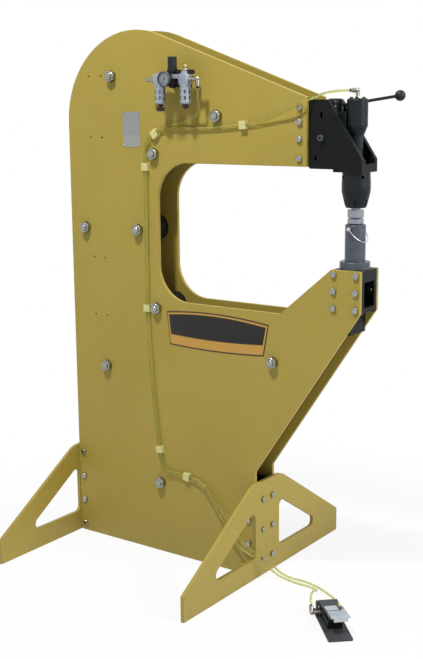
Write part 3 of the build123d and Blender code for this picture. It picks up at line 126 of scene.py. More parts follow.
# %% Hose routes
hose_off_plate = 6.5
hose_y = plate_face * 1000 - hose_off_plate
supply_route = [
    (512, -95.5, 1386), (512, -95.5, 1350), (506, -80, 1318), (474, -62, 1292), (424, hose_y, 1281),
    (372, hose_y, 1274), (339.8, hose_y, 1261.6), (317.4, hose_y, 1244.8), (293, hose_y, 1222),
    (291.6, hose_y, 1171), (290.6, hose_y, 1143), (288.8, hose_y, 762), (289.2, hose_y, 734),
    (300, hose_y, 560), (323.8, hose_y, 337.2), (328.3, hose_y, 309.5), (338, hose_y, 254.5),
    (414.8, hose_y, 252.7), (442.8, hose_y, 251.3),
]
delivery_route = [
    (935, 0, 1363), (898, 0, 1363), (868, -9, 1360), (848, -34, 1351), (830, -64, 1338), (797, -71, 1324),
    (748, -64, 1305), (700, hose_y, 1286), (646, hose_y, 1277.3), (618, hose_y, 1274.9),
    (545, hose_y, 1268), (455, hose_y, 1266), (380, hose_y, 1266.5), (344.6, hose_y, 1255.2),
    (322.2, hose_y, 1238.4), (301, hose_y, 1218), (299.6, hose_y, 1171), (298.6, hose_y, 1143),
    (296.8, hose_y, 762), (297.2, hose_y, 734), (308, hose_y, 560), (331.7, hose_y, 338.4),
    (336.2, hose_y, 310.8), (345, hose_y, 262.5), (415.2, hose_y, 260.7), (443.2, hose_y, 259.3),
]
supply_free_route = [
    (442.8, hose_y, 251.3), (476, hose_y, 249.64), (524, -62, 203), (566, -68, 150), (612, -76, 106),
    (652, -82, 81), (690, -78, 75), (712, -58, 48), (730, -36, 16), (766, -24, 3.4), (796, -29, 3.4),
    (826, -27, 3.4), (858, -33, 3.4), (882, -72, 20), (902, -124, 47),
    (915.87, -166.01, 47.17), (930.77, -182.0, 21.13),
]
delivery_free_route = [
    (443.2, hose_y, 259.3), (478, hose_y, 257.56), (529, -60, 211), (572, -64, 160), (616, -69, 117),
    (655, -72.5, 90), (692, -69, 84), (716, -50, 56), (734, -26, 20), (764, -8, 3.4), (800, -4, 3.4),
    (842, -12, 3.4), (888, -33, 3.4), (930, -60, 6), (962.97, -93.36, 15), (990.25, -122.62, 15),
]

# %% Hoses as curves
hose_radius = 0.0032


def lay_hose(name, route):
    """Round hose on one smooth open spline whose control points are the route."""
    curve = bpy.data.curves.new(name, "CURVE")
    curve.dimensions = "3D"
    curve.bevel_depth = 1.0
    curve.bevel_resolution = 3
    curve.resolution_u = 8
    curve.use_fill_caps = True
    spline = curve.splines.new("NURBS")
    spline.points.add(len(route) - 1)
    for point, place in zip(spline.points, route):
        point.co = (*spot(*place), 1)
        point.radius = hose_radius
    spline.order_u = 3
    spline.use_endpoint_u = True
    piece = bpy.data.objects.new(name, curve)
    bpy.context.collection.objects.link(piece)
    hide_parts(name.replace("_line", "_hose"))
    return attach(piece, "frame")


hoses = {
    "supply_line": lay_hose("supply_line", supply_route),
    "delivery_line": lay_hose("delivery_line", delivery_route),
    "supply_line_free": lay_hose("supply_line_free", supply_free_route),
    "delivery_line_free": lay_hose("delivery_line_free", delivery_free_route),
}
print("points of the hoses", {name: len(piece.data.splines[0].points) for name, piece in hoses.items()})

# %% [markdown]
# ## Tools for the finishes
#
# A finish is a small tree of nodes. Colours are written as sRGB hex values, as in any paint chart, and
# one function turns them to the linear values the shader wants. A second function adds one node with its
# settings and links, and a third says how many times a pattern of a given size in millimetres repeats in
# a metre. A fourth starts a material.

# %% Helpers for finishes


def paint(hex_colour):
    """Linear shader colour of an sRGB hex value."""
    parts = [int(hex_colour[i : i + 2], 16) / 255 for i in (1, 3, 5)]
    return [p / 12.92 if p <= 0.04045 else ((p + 0.055) / 1.055) ** 2.4 for p in parts] + [1.0]


def add(tree, kind, settings, links=None):
    """One node: lower-case settings are its own, the others are inputs; links feed its inputs."""
    made = tree.nodes.new(kind)
    for name, value in settings.items():
        if isinstance(name, str) and name.islower():
            setattr(made, name, value)
        else:
            made.inputs[name].default_value = value
    for name, output in (links or {}).items():
        tree.links.new(output, made.inputs[name])
    return made


def per(size_mm):
    """Repeats in a metre of a pattern of that size in millimetres."""
    return 1000 / size_mm


finishes = {}


def begin_finish(name, label, settings):
    """New material with its main shader set; gives the tree, the shader and the object's own coordinates."""
    material = finishes[name] = bpy.data.materials.new(label)
    material.use_nodes = True
    tree = material.node_tree
    shader = tree.nodes["Principled BSDF"]
    for socket, value in settings.items():
        shader.inputs[socket].default_value = value
    where = tree.nodes.new("ShaderNodeTexCoord").outputs["Object"]
    return tree, shader, where


print("a 2 mm pattern repeats", per(2), "times in a metre")

# %% [markdown]
# ### Mustard enamel
#
# The plates and feet are laser-cut steel, sprayed with a satin mustard enamel. To the eye that is a warm
# even yellow-brown with a faint cloudiness, a soft orange-peel skin, a paler line along the edges and some
# dust near the floor. The paler edge line is partly wear where the coat is thin and partly a painted
# highlight where the edges catch the light. It comes from the Bevel node: where the rounded normal leaves
# the true one, there is an edge.

# %% Worn and lit edges
# edges within this radius take a colour that is partly wear and partly a painted highlight
worn_lit_radius = 0.0012


def worn_and_lit_edges(tree, full_at, most):
    """Bevel node, and a share that grows to most where its normal leaves the true one by an edge."""
    rounded = add(tree, "ShaderNodeBevel", {"samples": 6, "Radius": worn_lit_radius})
    true_normal = add(tree, "ShaderNodeNewGeometry", {})
    agree = add(
        tree,
        "ShaderNodeVectorMath",
        {"operation": "DOT_PRODUCT"},
        {0: rounded.outputs["Normal"], 1: true_normal.outputs["Normal"]},
    )
    edge = add(
        tree,
        "ShaderNodeMapRange",
        {"From Min": 0.99, "From Max": full_at, "To Max": most},
        {"Value": agree.outputs["Value"]},
    )
    return rounded, edge


print("coats wear within", 1000 * worn_lit_radius, "mm of an edge")

# %% Mustard enamel
dust_height = 0.16
tree, shader, where = begin_finish("mustard", "mustard_satin_enamel_on_steel", {"Specular IOR Level": 0.4})
clouds = add(tree, "ShaderNodeTexNoise", {"Scale": per(260), "Detail": 4.0}, {"Vector": where})
specks = add(tree, "ShaderNodeTexNoise", {"Scale": per(9), "Detail": 6.0}, {"Vector": where})
coat = add(
    tree,
    "ShaderNodeMix",
    {"data_type": "RGBA", 6: paint("#A28F3A"), 7: paint("#B29E4B")},
    {0: clouds.outputs["Fac"]},
)
speckled = add(
    tree,
    "ShaderNodeMix",
    {"data_type": "RGBA", "blend_type": "OVERLAY", 0: 0.12},
    {6: coat.outputs[2], 7: specks.outputs["Color"]},
)
rounded, edge = worn_and_lit_edges(tree, full_at=0.86, most=0.4)
# paler edge colour: partly wear where the coat is thin, partly a painted highlight
worn_lit_edged = add(
    tree,
    "ShaderNodeMix",
    {"data_type": "RGBA", 7: paint("#AC9A4C")},
    {0: edge.outputs["Result"], 6: speckled.outputs[2]},
)
height = add(tree, "ShaderNodeSeparateXYZ", {}, {"Vector": where})
near_floor = add(
    tree,
    "ShaderNodeMapRange",
    {"From Min": dust_height, "From Max": 0.0, "To Max": 0.5},
    {"Value": height.outputs["Z"]},
)
dust_noise = add(tree, "ShaderNodeTexNoise", {"Scale": per(35), "Detail": 7.0}, {"Vector": where})
dust = add(
    tree,
    "ShaderNodeMath",
    {"operation": "MULTIPLY"},
    {0: near_floor.outputs["Result"], 1: dust_noise.outputs["Fac"]},
)
dusted = add(
    tree,
    "ShaderNodeMix",
    {"data_type": "RGBA", 7: paint("#8C7E48")},
    {0: dust.outputs["Value"], 6: worn_lit_edged.outputs[2]},
)
tree.links.new(dusted.outputs[2], shader.inputs["Base Color"])
sheen_change = add(
    tree, "ShaderNodeMapRange", {"To Min": 0.42, "To Max": 0.58}, {"Value": clouds.outputs["Fac"]}
)
tree.links.new(sheen_change.outputs["Result"], shader.inputs["Roughness"])
peel = add(tree, "ShaderNodeTexNoise", {"Scale": per(3), "Detail": 2.0}, {"Vector": where})
skin = add(
    tree,
    "ShaderNodeBump",
    {"Strength": 0.12, "Distance": 0.0003},
    {"Height": peel.outputs["Fac"], "Normal": rounded.outputs["Normal"]},
)
tree.links.new(skin.outputs["Normal"], shader.inputs["Normal"])
print("mustard enamel", len(tree.nodes), "nodes")

# %% [markdown]
# ### Black enamel and black oxide
#
# The two brackets, the block and the valve are black enamel on steel: nearly black with a green-grey
# cast, satin, with a grey line at the edges that is partly wear and partly a painted highlight. The
# hammer's head and nose, the clamp and its arm are blackened (oxidised) steel, which is bluer and gleams a
# little more. The pedal wears a dull dark grey coat. All are one recipe with different numbers, the
# painted edge highlight included, so a loop makes them.

# %% Black enamel and black oxide
for name, label, dark, lighter, rubbed_and_lit_edge, mirror, rough in (
    # a green-black skin with soft grey edges, less shiny than the oiled steel beside it
    ("black_enamel", "black_enamel_on_steel", "#0E1110", "#171B1A", "#6E7270", 0.12, (0.36, 0.52)),
    # a blue-black that keeps a dull gleam on the turned rounds
    ("black_oxide", "black_oxide_on_turned_steel", "#0E1418", "#192025", "#4A5056", 0.2, (0.34, 0.5)),
    # a worn grey, lighter than the valve it carries
    ("pedal_grey", "dark_grey_pedal_enamel", "#36383B", "#484A4E", "#707376", 0.2, (0.45, 0.6)),
):
    tree, shader, where = begin_finish(name, label, {"Specular IOR Level": mirror})
    smoke = add(tree, "ShaderNodeTexNoise", {"Scale": per(45), "Detail": 5.0}, {"Vector": where})
    skin_colour = add(
        tree,
        "ShaderNodeMix",
        {"data_type": "RGBA", 6: paint(dark), 7: paint(lighter)},
        {0: smoke.outputs["Fac"]},
    )
    rounded, edge = worn_and_lit_edges(tree, full_at=0.84, most=0.6)
    # grey edge colour: partly wear, partly a painted highlight
    worn_lit_edged = add(
        tree,
        "ShaderNodeMix",
        {"data_type": "RGBA", 7: paint(rubbed_and_lit_edge)},
        {0: edge.outputs["Result"], 6: skin_colour.outputs[2]},
    )
    tree.links.new(worn_lit_edged.outputs[2], shader.inputs["Base Color"])
    gloss = add(
        tree,
        "ShaderNodeMapRange",
        {"To Min": rough[0], "To Max": rough[1]},
        {"Value": smoke.outputs["Fac"]},
    )
    tree.links.new(gloss.outputs["Result"], shader.inputs["Roughness"])
    grain = add(tree, "ShaderNodeTexNoise", {"Scale": per(1.6), "Detail": 3.0}, {"Vector": where})
    skin = add(
        tree,
        "ShaderNodeBump",
        {"Strength": 0.1, "Distance": 0.0002},
        {"Height": grain.outputs["Fac"], "Normal": rounded.outputs["Normal"]},
    )
    tree.links.new(skin.outputs["Normal"], shader.inputs["Normal"])
    print(label, len(tree.nodes), "nodes")

# %% [markdown]
# ### Bare and plated metals
#
# Zinc-plated bolts are a neutral grey with bright rounded edges. The anvil post, dies and ram are turned
# and ground steel: blue-grey, with fine rings round the tool axis. Chrome, nickel, brass and bronze
# differ in colour and in how sharp the reflection is. Fine marks run across the Z axis, so one band
# pattern, drawn about a millimetre wide so that it shows in the render, serves them all. No metal is
# even: one noise moves its colour between two tones, and another moves its roughness, as handling does.

# %% Colour and gloss from noise


def vary(tree, shader, tint_noise, low, high, gloss_noise, rough):
    """Let one noise mix two colours, and one move the roughness between two limits."""
    tint = add(
        tree,
        "ShaderNodeMix",
        {"data_type": "RGBA", 6: paint(low), 7: paint(high)},
        {0: tint_noise.outputs["Fac"]},
    )
    tree.links.new(tint.outputs[2], shader.inputs["Base Color"])
    gloss = add(
        tree,
        "ShaderNodeMapRange",
        {"To Min": rough[0], "To Max": rough[1]},
        {"Value": gloss_noise.outputs["Fac"]},
    )
    tree.links.new(gloss.outputs["Result"], shader.inputs["Roughness"])


print("finishes so far", sorted(finishes))

# %% Bare and plated metals
# one wave of the Wave texture is a twentieth of two pi long
wave_length = 2 * pi / 20
for name, label, low, high, metal, rough, mark_mm, mark_depth, edge_mm in (
    # neutral grey bolts whose rounded upper edges catch the lamp
    ("zinc", "zinc_plated_steel", "#83867F", "#ABADA6", 1.0, (0.16, 0.28), 2.0, 0.03, 3.6),
    # dark blue-grey rounds with one bright stripe where the light stands
    ("steel", "turned_and_ground_steel", "#3E444C", "#59606A", 0.5, (0.26, 0.4), 1.1, 0.12, 0.6),
    # the brightest metal, nearly a mirror, at the working faces
    ("bright_steel", "polished_die_steel", "#7C838C", "#A2A8B0", 0.6, (0.16, 0.26), 0.9, 0.06, 0.6),
    # a hard sparkle on thin wire and rolled rims
    ("chrome", "chrome_plated_steel", "#B4B8BD", "#D2D4D6", 1.0, (0.07, 0.16), 2.5, 0.01, 0.4),
    # a warmer, duller silver than the zinc
    ("nickel", "nickel_plated_brass", "#86827A", "#A9A498", 1.0, (0.18, 0.32), 1.4, 0.05, 1.0),
    # a small warm yellow spot on top of the lubricator
    ("brass", "machined_brass", "#B59A58", "#D6C084", 1.0, (0.2, 0.34), 0.9, 0.08, 0.6),
    # brown-gold, deep inside the nose
    ("bronze", "machined_bronze", "#8C6A3A", "#A98650", 1.0, (0.28, 0.42), 0.9, 0.1, 0.6),
):
    tree, shader, where = begin_finish(name, label, {"Metallic": metal})
    shimmer = add(tree, "ShaderNodeTexNoise", {"Scale": per(14), "Detail": 5.0}, {"Vector": where})
    smear = add(tree, "ShaderNodeTexNoise", {"Scale": per(5), "Detail": 6.0}, {"Vector": where})
    vary(tree, shader, shimmer, low, high, smear, rough)
    bands = add(
        tree,
        "ShaderNodeTexWave",
        {"bands_direction": "Z", "Scale": wave_length * per(mark_mm), "Distortion": 0.6, "Detail": 2.0},
        {"Vector": where},
    )
    rounded = add(tree, "ShaderNodeBevel", {"samples": 4, "Radius": edge_mm / 1000})
    fine_marks = add(
        tree,
        "ShaderNodeBump",
        {"Strength": mark_depth, "Distance": 0.0002},
        {"Height": bands.outputs["Fac"], "Normal": rounded.outputs["Normal"]},
    )
    tree.links.new(fine_marks.outputs["Normal"], shader.inputs["Normal"])
print("metals", sorted(finishes))

# %% [markdown]
# ### Castings and mouldings
#
# The air unit's bodies and bowl guards are die-cast and sprayed a cool silver. The knob, brackets and
# ball are moulded black plastic, the clips cream nylon, and the gauge's dial, marks and needle are
# painted. Each has a grain of a few tenths of a millimetre, here drawn at about one millimetre so that it
# shows. The drains change colour on their way down, so they get a cell of their own.

# %% Castings and mouldings
for name, label, low, high, rough, grain_mm, grain_depth, extra in (
    # cool silver-grey with a fine sprayed grain
    ("cast", "die_cast_silver_lacquer", "#8C95A0", "#A8B0BA", (0.38, 0.55), 1.2, 0.14, {"Metallic": 0.3}),
    # brighter bare silver, brushed by shoes
    ("tread", "extruded_aluminium_tread", "#A8B2BA", "#C6CED4", (0.3, 0.46), 1.5, 0.08, {"Metallic": 0.6}),
    # a dead black that holds only a soft broad gleam
    (
        "black_plastic", "moulded_black_nylon", "#0F0F11", "#1B1B1D", (0.4, 0.56), 1.0, 0.12,
        {"Specular IOR Level": 0.3},
    ),
    # warm cream, slightly waxy, paler than the hoses it holds
    (
        "nylon", "moulded_cream_nylon", "#D2C985", "#E1D99B", (0.4, 0.56), 1.2, 0.1,
        {"Subsurface Weight": 0.15},
    ),
    # one thin red stroke on the dial
    ("needle", "red_painted_needle", "#8E1D18", "#A92A22", (0.4, 0.5), 1.0, 0.02, {}),
    # a cool grey-blue ground behind the needle
    ("dial", "grey_blue_dial_enamel", "#93A2AB", "#A6B3BB", (0.35, 0.45), 1.5, 0.02, {}),
    # flat black strokes
    ("ink", "black_dial_ink", "#161616", "#242424", (0.5, 0.6), 1.0, 0.02, {}),
    # chalky white with visible grains
    ("filter_felt", "sintered_white_filter", "#C9C8C0", "#E2E1DA", (0.75, 0.9), 0.8, 0.5, {}),
):
    tree, shader, where = begin_finish(name, label, extra)
    cloud = add(tree, "ShaderNodeTexNoise", {"Scale": per(18), "Detail": 5.0}, {"Vector": where})
    vary(tree, shader, cloud, low, high, cloud, rough)
    grain = add(tree, "ShaderNodeTexNoise", {"Scale": per(grain_mm), "Detail": 3.0}, {"Vector": where})
    rounded = add(tree, "ShaderNodeBevel", {"samples": 4, "Radius": 0.0008})
    skin = add(
        tree,
        "ShaderNodeBump",
        {"Strength": grain_depth, "Distance": 0.0003},
        {"Height": grain.outputs["Fac"], "Normal": rounded.outputs["Normal"]},
    )
    tree.links.new(skin.outputs["Normal"], shader.inputs["Normal"])
print("finishes", len(finishes))

# %% Drains
# black above, turning red-brown toward its lower end
red_below, black_above = 1.319, 1.329
tree, shader, where = begin_finish("drain_brown", "moulded_red_brown_nylon", {"Specular IOR Level": 0.35})
height = add(tree, "ShaderNodeSeparateXYZ", {}, {"Vector": where})
upward = add(
    tree,
    "ShaderNodeMapRange",
    {"From Min": red_below, "From Max": black_above},
    {"Value": height.outputs["Z"]},
)
tint = add(
    tree,
    "ShaderNodeMix",
    {"data_type": "RGBA", 6: paint("#361612"), 7: paint("#120F11")},
    {0: upward.outputs["Result"]},
)
tree.links.new(tint.outputs[2], shader.inputs["Base Color"])
mottle = add(tree, "ShaderNodeTexNoise", {"Scale": per(2), "Detail": 4.0}, {"Vector": where})
gloss = add(
    tree, "ShaderNodeMapRange", {"To Min": 0.34, "To Max": 0.5}, {"Value": mottle.outputs["Fac"]}
)
tree.links.new(gloss.outputs["Result"], shader.inputs["Roughness"])
print("drains", len(tree.nodes), "nodes")

# %% [markdown]
# ### See-through pieces
#
# The bowls, the sight dome and the gauge's lens are clear polycarbonate, the lubricator holds a little
# amber oil, and the hose lets some light through. Their colour sits in the transmission, and faint wiping
# marks change how sharply they reflect.

# %% See-through pieces
for name, label, low, high, rough, through, ior, mirror in (
    # nearly invisible, shown by its rims and highlights
    ("clear", "clear_polycarbonate", "#E4EAE6", "#F2F5F3", (0.02, 0.1), 1.0, 1.585, 0.5),
    # a dark amber pool behind the slots
    ("oil", "amber_machine_oil", "#5A4420", "#6E552A", (0.02, 0.05), 0.9, 1.47, 0.5),
    # pale yellow and nearly clear, so that on the plate it shows mainly by its shadow
    ("hose", "translucent_yellow_polyurethane", "#D2CF84", "#DEDB98", (0.12, 0.22), 0.82, 1.2, 0.15),
):
    settings = {"Transmission Weight": through, "IOR": ior, "Specular IOR Level": mirror}
    tree, shader, where = begin_finish(name, label, settings)
    cloud = add(tree, "ShaderNodeTexNoise", {"Scale": per(25), "Detail": 5.0}, {"Vector": where})
    wiped = add(tree, "ShaderNodeTexNoise", {"Scale": per(6), "Detail": 6.0}, {"Vector": where})
    vary(tree, shader, cloud, low, high, wiped, rough)
for piece in hoses.values():
    piece.data.materials.append(finishes["hose"])
print("finishes", len(finishes))

# %% [markdown]
# ## Finishes on the engineering pieces
#
# The engineering pieces keep their shape and place. Each gets the finish of the real piece in its
# material slot.

# %% Finishes on the engineering pieces
finish_of = {
    "mustard": ["side_plate_near", "side_plate_far", "front_foot", "rear_foot"],
    "black_enamel": [
        "tie_spacers", "foot_channels", "head_bracket", "hammer_block", "anvil_bracket", "pedal_valve",
    ],
    "pedal_grey": ["pedal_base", "pedal_treadle"],
    "zinc": [
        "tie_bolts", "tie_washers", "tie_nuts", "foot_bolts", "head_bolts", "jaw_bolts", "pedal_pin",
    ],
    "black_oxide": ["hammer_head", "hammer_barrel", "nose_retainer", "clamp_hub", "clamp_arm"],
    "steel": ["ram_piston", "anvil_post", "post_collar", "pedal_plunger", "block_screws"],
    "bright_steel": ["upper_die", "lower_die"],
    "chrome": ["quick_pin", "pin_bail"],
    "nickel": ["hammer_elbow", "outlet_elbow", "pedal_elbows", "inlet_plug"],
    "bronze": ["guide_bush"],
    "brass": ["drip_knob"],
    "cast": ["filter_body", "lubricator_body", "bowl_guards"],
    "tread": ["tread_pad"],
    "black_plastic": ["regulator_body", "regulator_knob", "gauge_case", "unit_brackets", "ball_knob"],
    "drain_brown": ["filter_drain", "lubricator_drain"],
    "clear": ["bowl_cups", "gauge_lens", "sight_dome"],
    "needle": ["gauge_needle"],
    "nylon": ["hose_clips"],
}
for finish, nodes in finish_of.items():
    for node in nodes:
        for material_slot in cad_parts[node].material_slots:
            material_slot.material = finishes[finish]
print("dressed", sum(len(nodes) for nodes in finish_of.values()), "engineering pieces")

# %% [markdown]
# ## Tools for new pieces
#
# New trim is drawn as by hand. A plane merged to its middle is a single point, and extruding that point
# again and again draws a line. Spun round an axis, the line is a turned piece. Closed and filled, it is a
# cut plate.

# %% Helpers for new pieces
# points nearer than this, in metres, are one point
same_place = 1e-6


def draw_line(name, points):
    """New mesh in edit mode: one point, extruded from place to place."""
    bpy.ops.object.select_all(action="DESELECT")
    bpy.ops.mesh.primitive_plane_add(size=0.001)
    piece = bpy.context.object
    piece.name = piece.data.name = name
    bpy.ops.object.mode_set(mode="EDIT")
    bpy.ops.mesh.select_mode(type="VERT")
    bpy.ops.mesh.select_all(action="SELECT")
    bpy.ops.mesh.merge(type="CENTER")
    bpy.ops.transform.translate(value=points[0])
    for here, there in zip(points, points[1:]):
        bpy.ops.mesh.extrude_region_move(TRANSFORM_OT_translate={"value": there - here})
    return piece


def close_up(piece, smooth_angle=40):
    """Merge doubles, turn the faces outwards, leave edit mode and smooth what is rounder than the angle."""
    bpy.ops.mesh.select_all(action="SELECT")
    bpy.ops.mesh.remove_doubles(threshold=same_place)
    bpy.ops.mesh.normals_make_consistent(inside=False)
    bpy.ops.object.mode_set(mode="OBJECT")
    bpy.ops.object.shade_smooth_by_angle(angle=radians(smooth_angle))
    return piece


def turn_piece(name, centre, axis, profile, steps=40):
    """Turned piece from (radius, height) pairs in millimetres round an axis through a centre."""
    axis = Vector(axis).normalized()
    side = axis.orthogonal().normalized()
    points = [centre + axis * (h / 1000) + side * (r / 1000) for r, h in profile]
    piece = draw_line(name, points)
    bpy.ops.mesh.select_all(action="SELECT")
    bpy.ops.mesh.spin(steps=steps, angle=2 * pi, center=centre, axis=axis)
    return close_up(piece)


def set_on(piece, finish, body):
    """Give a new piece its finish and the body it moves with."""
    piece.data.materials.clear()
    piece.data.materials.append(finishes[finish])
    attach(piece, body)
    print(piece.name, len(piece.data.polygons), "faces on", body)
    return piece


print("points within", same_place, "m are one")

# %% [markdown]
# ## Pressure gauge
#
# The engineering model has the gauge's case, needle and lens. A real gauge also has a dial with a ring of
# marks and a dull steel bezel rolled over the case. The dial and bezel are turned pieces. One mark is a
# small block, narrowed at its inner end, and a spin that copies it makes the whole scale. Faces and edges
# are picked by where they are or which way they face.

# %% Dial and bezel
case_low, case_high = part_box("gauge_case")
gauge_front = case_low.y
gauge_middle = Vector(((case_low.x + case_high.x) / 2, gauge_front, (case_low.z + case_high.z) / 2))
dial_depth = 0.005
dial_back = gauge_middle + Vector((0, dial_depth, 0))
to_viewer = (0, -1, 0)
dial = turn_piece(
    "dial_face",
    dial_back,
    to_viewer,
    [(0, 0.02), (17.8, 0.02), (17.8, 0.25), (17.3, 0.4), (0, 0.4)],
)
set_on(dial, "dial", "frame")
bezel = turn_piece(
    "gauge_bezel",
    gauge_middle,
    to_viewer,
    [
        (17.7, 0.03), (17.75, 0.5), (18.4, 1.0), (19.6, 1.15), (20.5, 0.6), (20.95, -0.6), (20.95, -3),
        (20.1, -3), (20.1, -0.3), (19.3, 0.03), (17.7, 0.03),
    ],
    steps=64,
)
set_on(bezel, "steel", "frame")

# %% Marks on the dial


def pick(kind, test):
    """Select the faces or edges of the mesh in edit mode for which the test holds."""
    bpy.ops.mesh.select_mode(type="FACE" if kind == "faces" else "EDGE")
    bpy.ops.mesh.select_all(action="DESELECT")
    mesh = bmesh.from_edit_mesh(bpy.context.object.data)
    for part in getattr(mesh, kind):
        if test(part):
            part.select_set(True)
    mesh.select_flush_mode()
    bmesh.update_edit_mesh(bpy.context.object.data)


mark_size = (0.0005, 0.00012, 0.0032)
mark_radius, mark_lift = 0.0148, 0.00046
scale_sweep, scale_steps = radians(270), 20
bpy.ops.object.select_all(action="DESELECT")
bpy.ops.mesh.primitive_cube_add(size=1)
marks = bpy.context.object
marks.name = marks.data.name = "dial_marks"
bpy.ops.object.mode_set(mode="EDIT")
bpy.ops.transform.resize(value=mark_size)
pick("faces", lambda face: face.normal.z < -0.9)
bpy.ops.transform.resize(value=(0.5, 1, 1))
bpy.ops.mesh.select_all(action="SELECT")
bpy.ops.transform.translate(value=dial_back + Vector((0, -mark_lift, mark_radius)))
bpy.ops.transform.rotate(value=scale_sweep / 2, orient_axis="Y", center_override=dial_back)
bpy.ops.mesh.select_all(action="SELECT")
bpy.ops.mesh.spin(steps=scale_steps, dupli=True, angle=scale_sweep, center=dial_back, axis=to_viewer)
close_up(marks)
set_on(marks, "ink", "frame")

# %% [markdown]
# ## Collars at the hose ends
#
# Each fitting grips its hose with a dark release ring that stands out a few millimetres. One ring is
# turned at the first mouth and copied to the others, each copy turned along its own hose.

# %% Collars at the hose ends


def copy_to(piece, name, placing):
    """Copy of a finished piece with its own mesh, moved by a matrix that is then applied."""
    bpy.ops.object.select_all(action="DESELECT")
    piece.select_set(True)
    bpy.context.view_layer.objects.active = piece
    bpy.ops.object.duplicate(linked=False)
    twin = bpy.context.object
    twin.name = twin.data.name = name
    twin.matrix_world = placing
    bpy.ops.object.transform_apply(location=True, rotation=True, scale=True)
    return twin


hose_bite = 0.008
mouths = []
for end, towards in (
    (delivery_route[0], delivery_route[1]),
    (supply_route[0], supply_route[1]),
    (supply_free_route[-1], supply_free_route[-2]),
    (delivery_free_route[-1], delivery_free_route[-2]),
):
    outward = (spot(*towards) - spot(*end)).normalized()
    mouths.append((spot(*end) + outward * hose_bite, outward))
first_mouth, first_way = mouths[0]
first_ring = turn_piece(
    "hose_collar_1",
    first_mouth,
    first_way,
    [(3.35, 0.05), (5.0, 0.05), (5.0, 1.4), (4.3, 2.0), (4.3, 4.2), (3.9, 4.8), (3.35, 4.8), (3.35, 0.05)],
    steps=24,
)
collars = [first_ring]
for count, (mouth, outward) in enumerate(mouths[1:], 2):
    swing = first_way.rotation_difference(outward).to_matrix().to_4x4()
    placing = Matrix.Translation(mouth) @ swing @ Matrix.Translation(-first_mouth)
    collars.append(copy_to(first_ring, f"hose_collar_{count}", placing))
for collar in collars:
    set_on(collar, "black_plastic", "frame")

# %% [markdown]
# ## Plates on the near side
#
# A bare aluminium data plate is riveted to the near plate, and an arched badge sits under the throat: a
# dark rim, a gold ground and a black field. Both faces are plain. They are cut plates: an outline is
# drawn, filled and pulled out to its thickness, and the faces are inset for borders.

# %% Data plate


def pull_plate(name, points, pull):
    """Plate left in edit mode: an outline drawn through the points, filled and pulled out by a vector."""
    piece = draw_line(name, points + [points[0]])
    bpy.ops.mesh.select_all(action="SELECT")
    bpy.ops.mesh.remove_doubles(threshold=same_place)
    bpy.ops.mesh.edge_face_add()
    bpy.ops.mesh.extrude_region_move(TRANSFORM_OT_translate={"value": pull})
    return piece


def cut_plate(name, outline, back_y, thickness):
    """Flat plate from (x, z) places in millimetres, its back on back_y and its face toward -Y."""
    points = [spot(x, back_y, z) for x, z in outline]
    return pull_plate(name, points, (0, -thickness / 1000, 0))


face_y = plate_face * 1000
# trim lies this far off what carries it, in millimetres
film = 0.02
plate_left, plate_right, plate_low, plate_high = 211, 274, 1212, 1312
plate_thick = 0.9
corner_radius, corner_steps = 0.004, 4
row_edges = (1300, 1284, 1268, 1246, 1224)
# the grey also covers the upper border of the fifth row
grey_rows_end = 1240.5
plate_corners = [
    (plate_left, plate_low), (plate_right, plate_low), (plate_right, plate_high), (plate_left, plate_high),
]
data_plate = cut_plate("data_plate", plate_corners, face_y - film, plate_thick)
pick("edges", lambda edge: abs((edge.verts[0].co - edge.verts[1].co).y) > 0.9 * plate_thick / 1000)
bpy.ops.mesh.bevel(offset=corner_radius, segments=corner_steps)
for height in row_edges:
    bpy.ops.mesh.select_all(action="SELECT")
    bpy.ops.mesh.bisect(plane_co=spot(plate_left, face_y, height), plane_no=(0, 0, 1))
pick("faces", lambda face: face.normal.y < -0.9)
bpy.ops.mesh.inset(thickness=0.0022, depth=-0.00025, use_individual=True)
close_up(data_plate, 30)
print("data plate rows", len(row_edges) + 1)

# %% Rivets of the data plate
rivet_in = 5
columns_apart = (plate_right - plate_left - 2 * rivet_in) / 1000
rows_apart = (plate_high - plate_low - 2 * rivet_in) / 1000
first_rivet = turn_piece(
    "data_plate_rivet_1",
    spot(plate_left + rivet_in, face_y - plate_thick, plate_low + rivet_in),
    to_viewer,
    [(0, 0.02), (2.2, 0.02), (2.1, 0.6), (1.5, 1.1), (0, 1.3)],
    steps=16,
)
rivets = [first_rivet]
for count, (x, z) in enumerate(((0, rows_apart), (columns_apart, 0), (columns_apart, rows_apart)), 2):
    placing = Matrix.Translation((x, 0, z))
    rivets.append(copy_to(first_rivet, f"data_plate_rivet_{count}", placing))
print("rivets", len(rivets))

# %% Badge outline
top_bulge, foot_bulge = 11.2, 5.8
arch_steps = 14


def badge_outline(inset, low):
    """Arched outline, inset on all sides, with its lower edge raised by low millimetres."""
    top_left = (360 + inset, 744.6 - inset)
    top_right = (710.6 - inset, 741 - inset)
    low_left = (371 + inset * 0.9 - low * 0.1, 648 + low)
    low_right = (694.6 - inset * 0.9 + low * 0.15, 651.6 + low)
    places = []
    for (x0, z0), (x1, z1), bulge in ((top_left, top_right, top_bulge), (low_right, low_left, -foot_bulge)):
        for step in range(arch_steps + 1):
            t = step / arch_steps
            places.append((x0 + (x1 - x0) * t, z0 + (z1 - z0) * t + bulge * 4 * t * (1 - t)))
    return places


print("badge outline", len(badge_outline(0, 0)), "places")

# %% Badge


def on_front_rim(edge):
    """True for an edge between a plate's front face and its side."""
    in_front = [face.normal.y < -0.9 for face in edge.link_faces]
    return any(in_front) and not all(in_front)


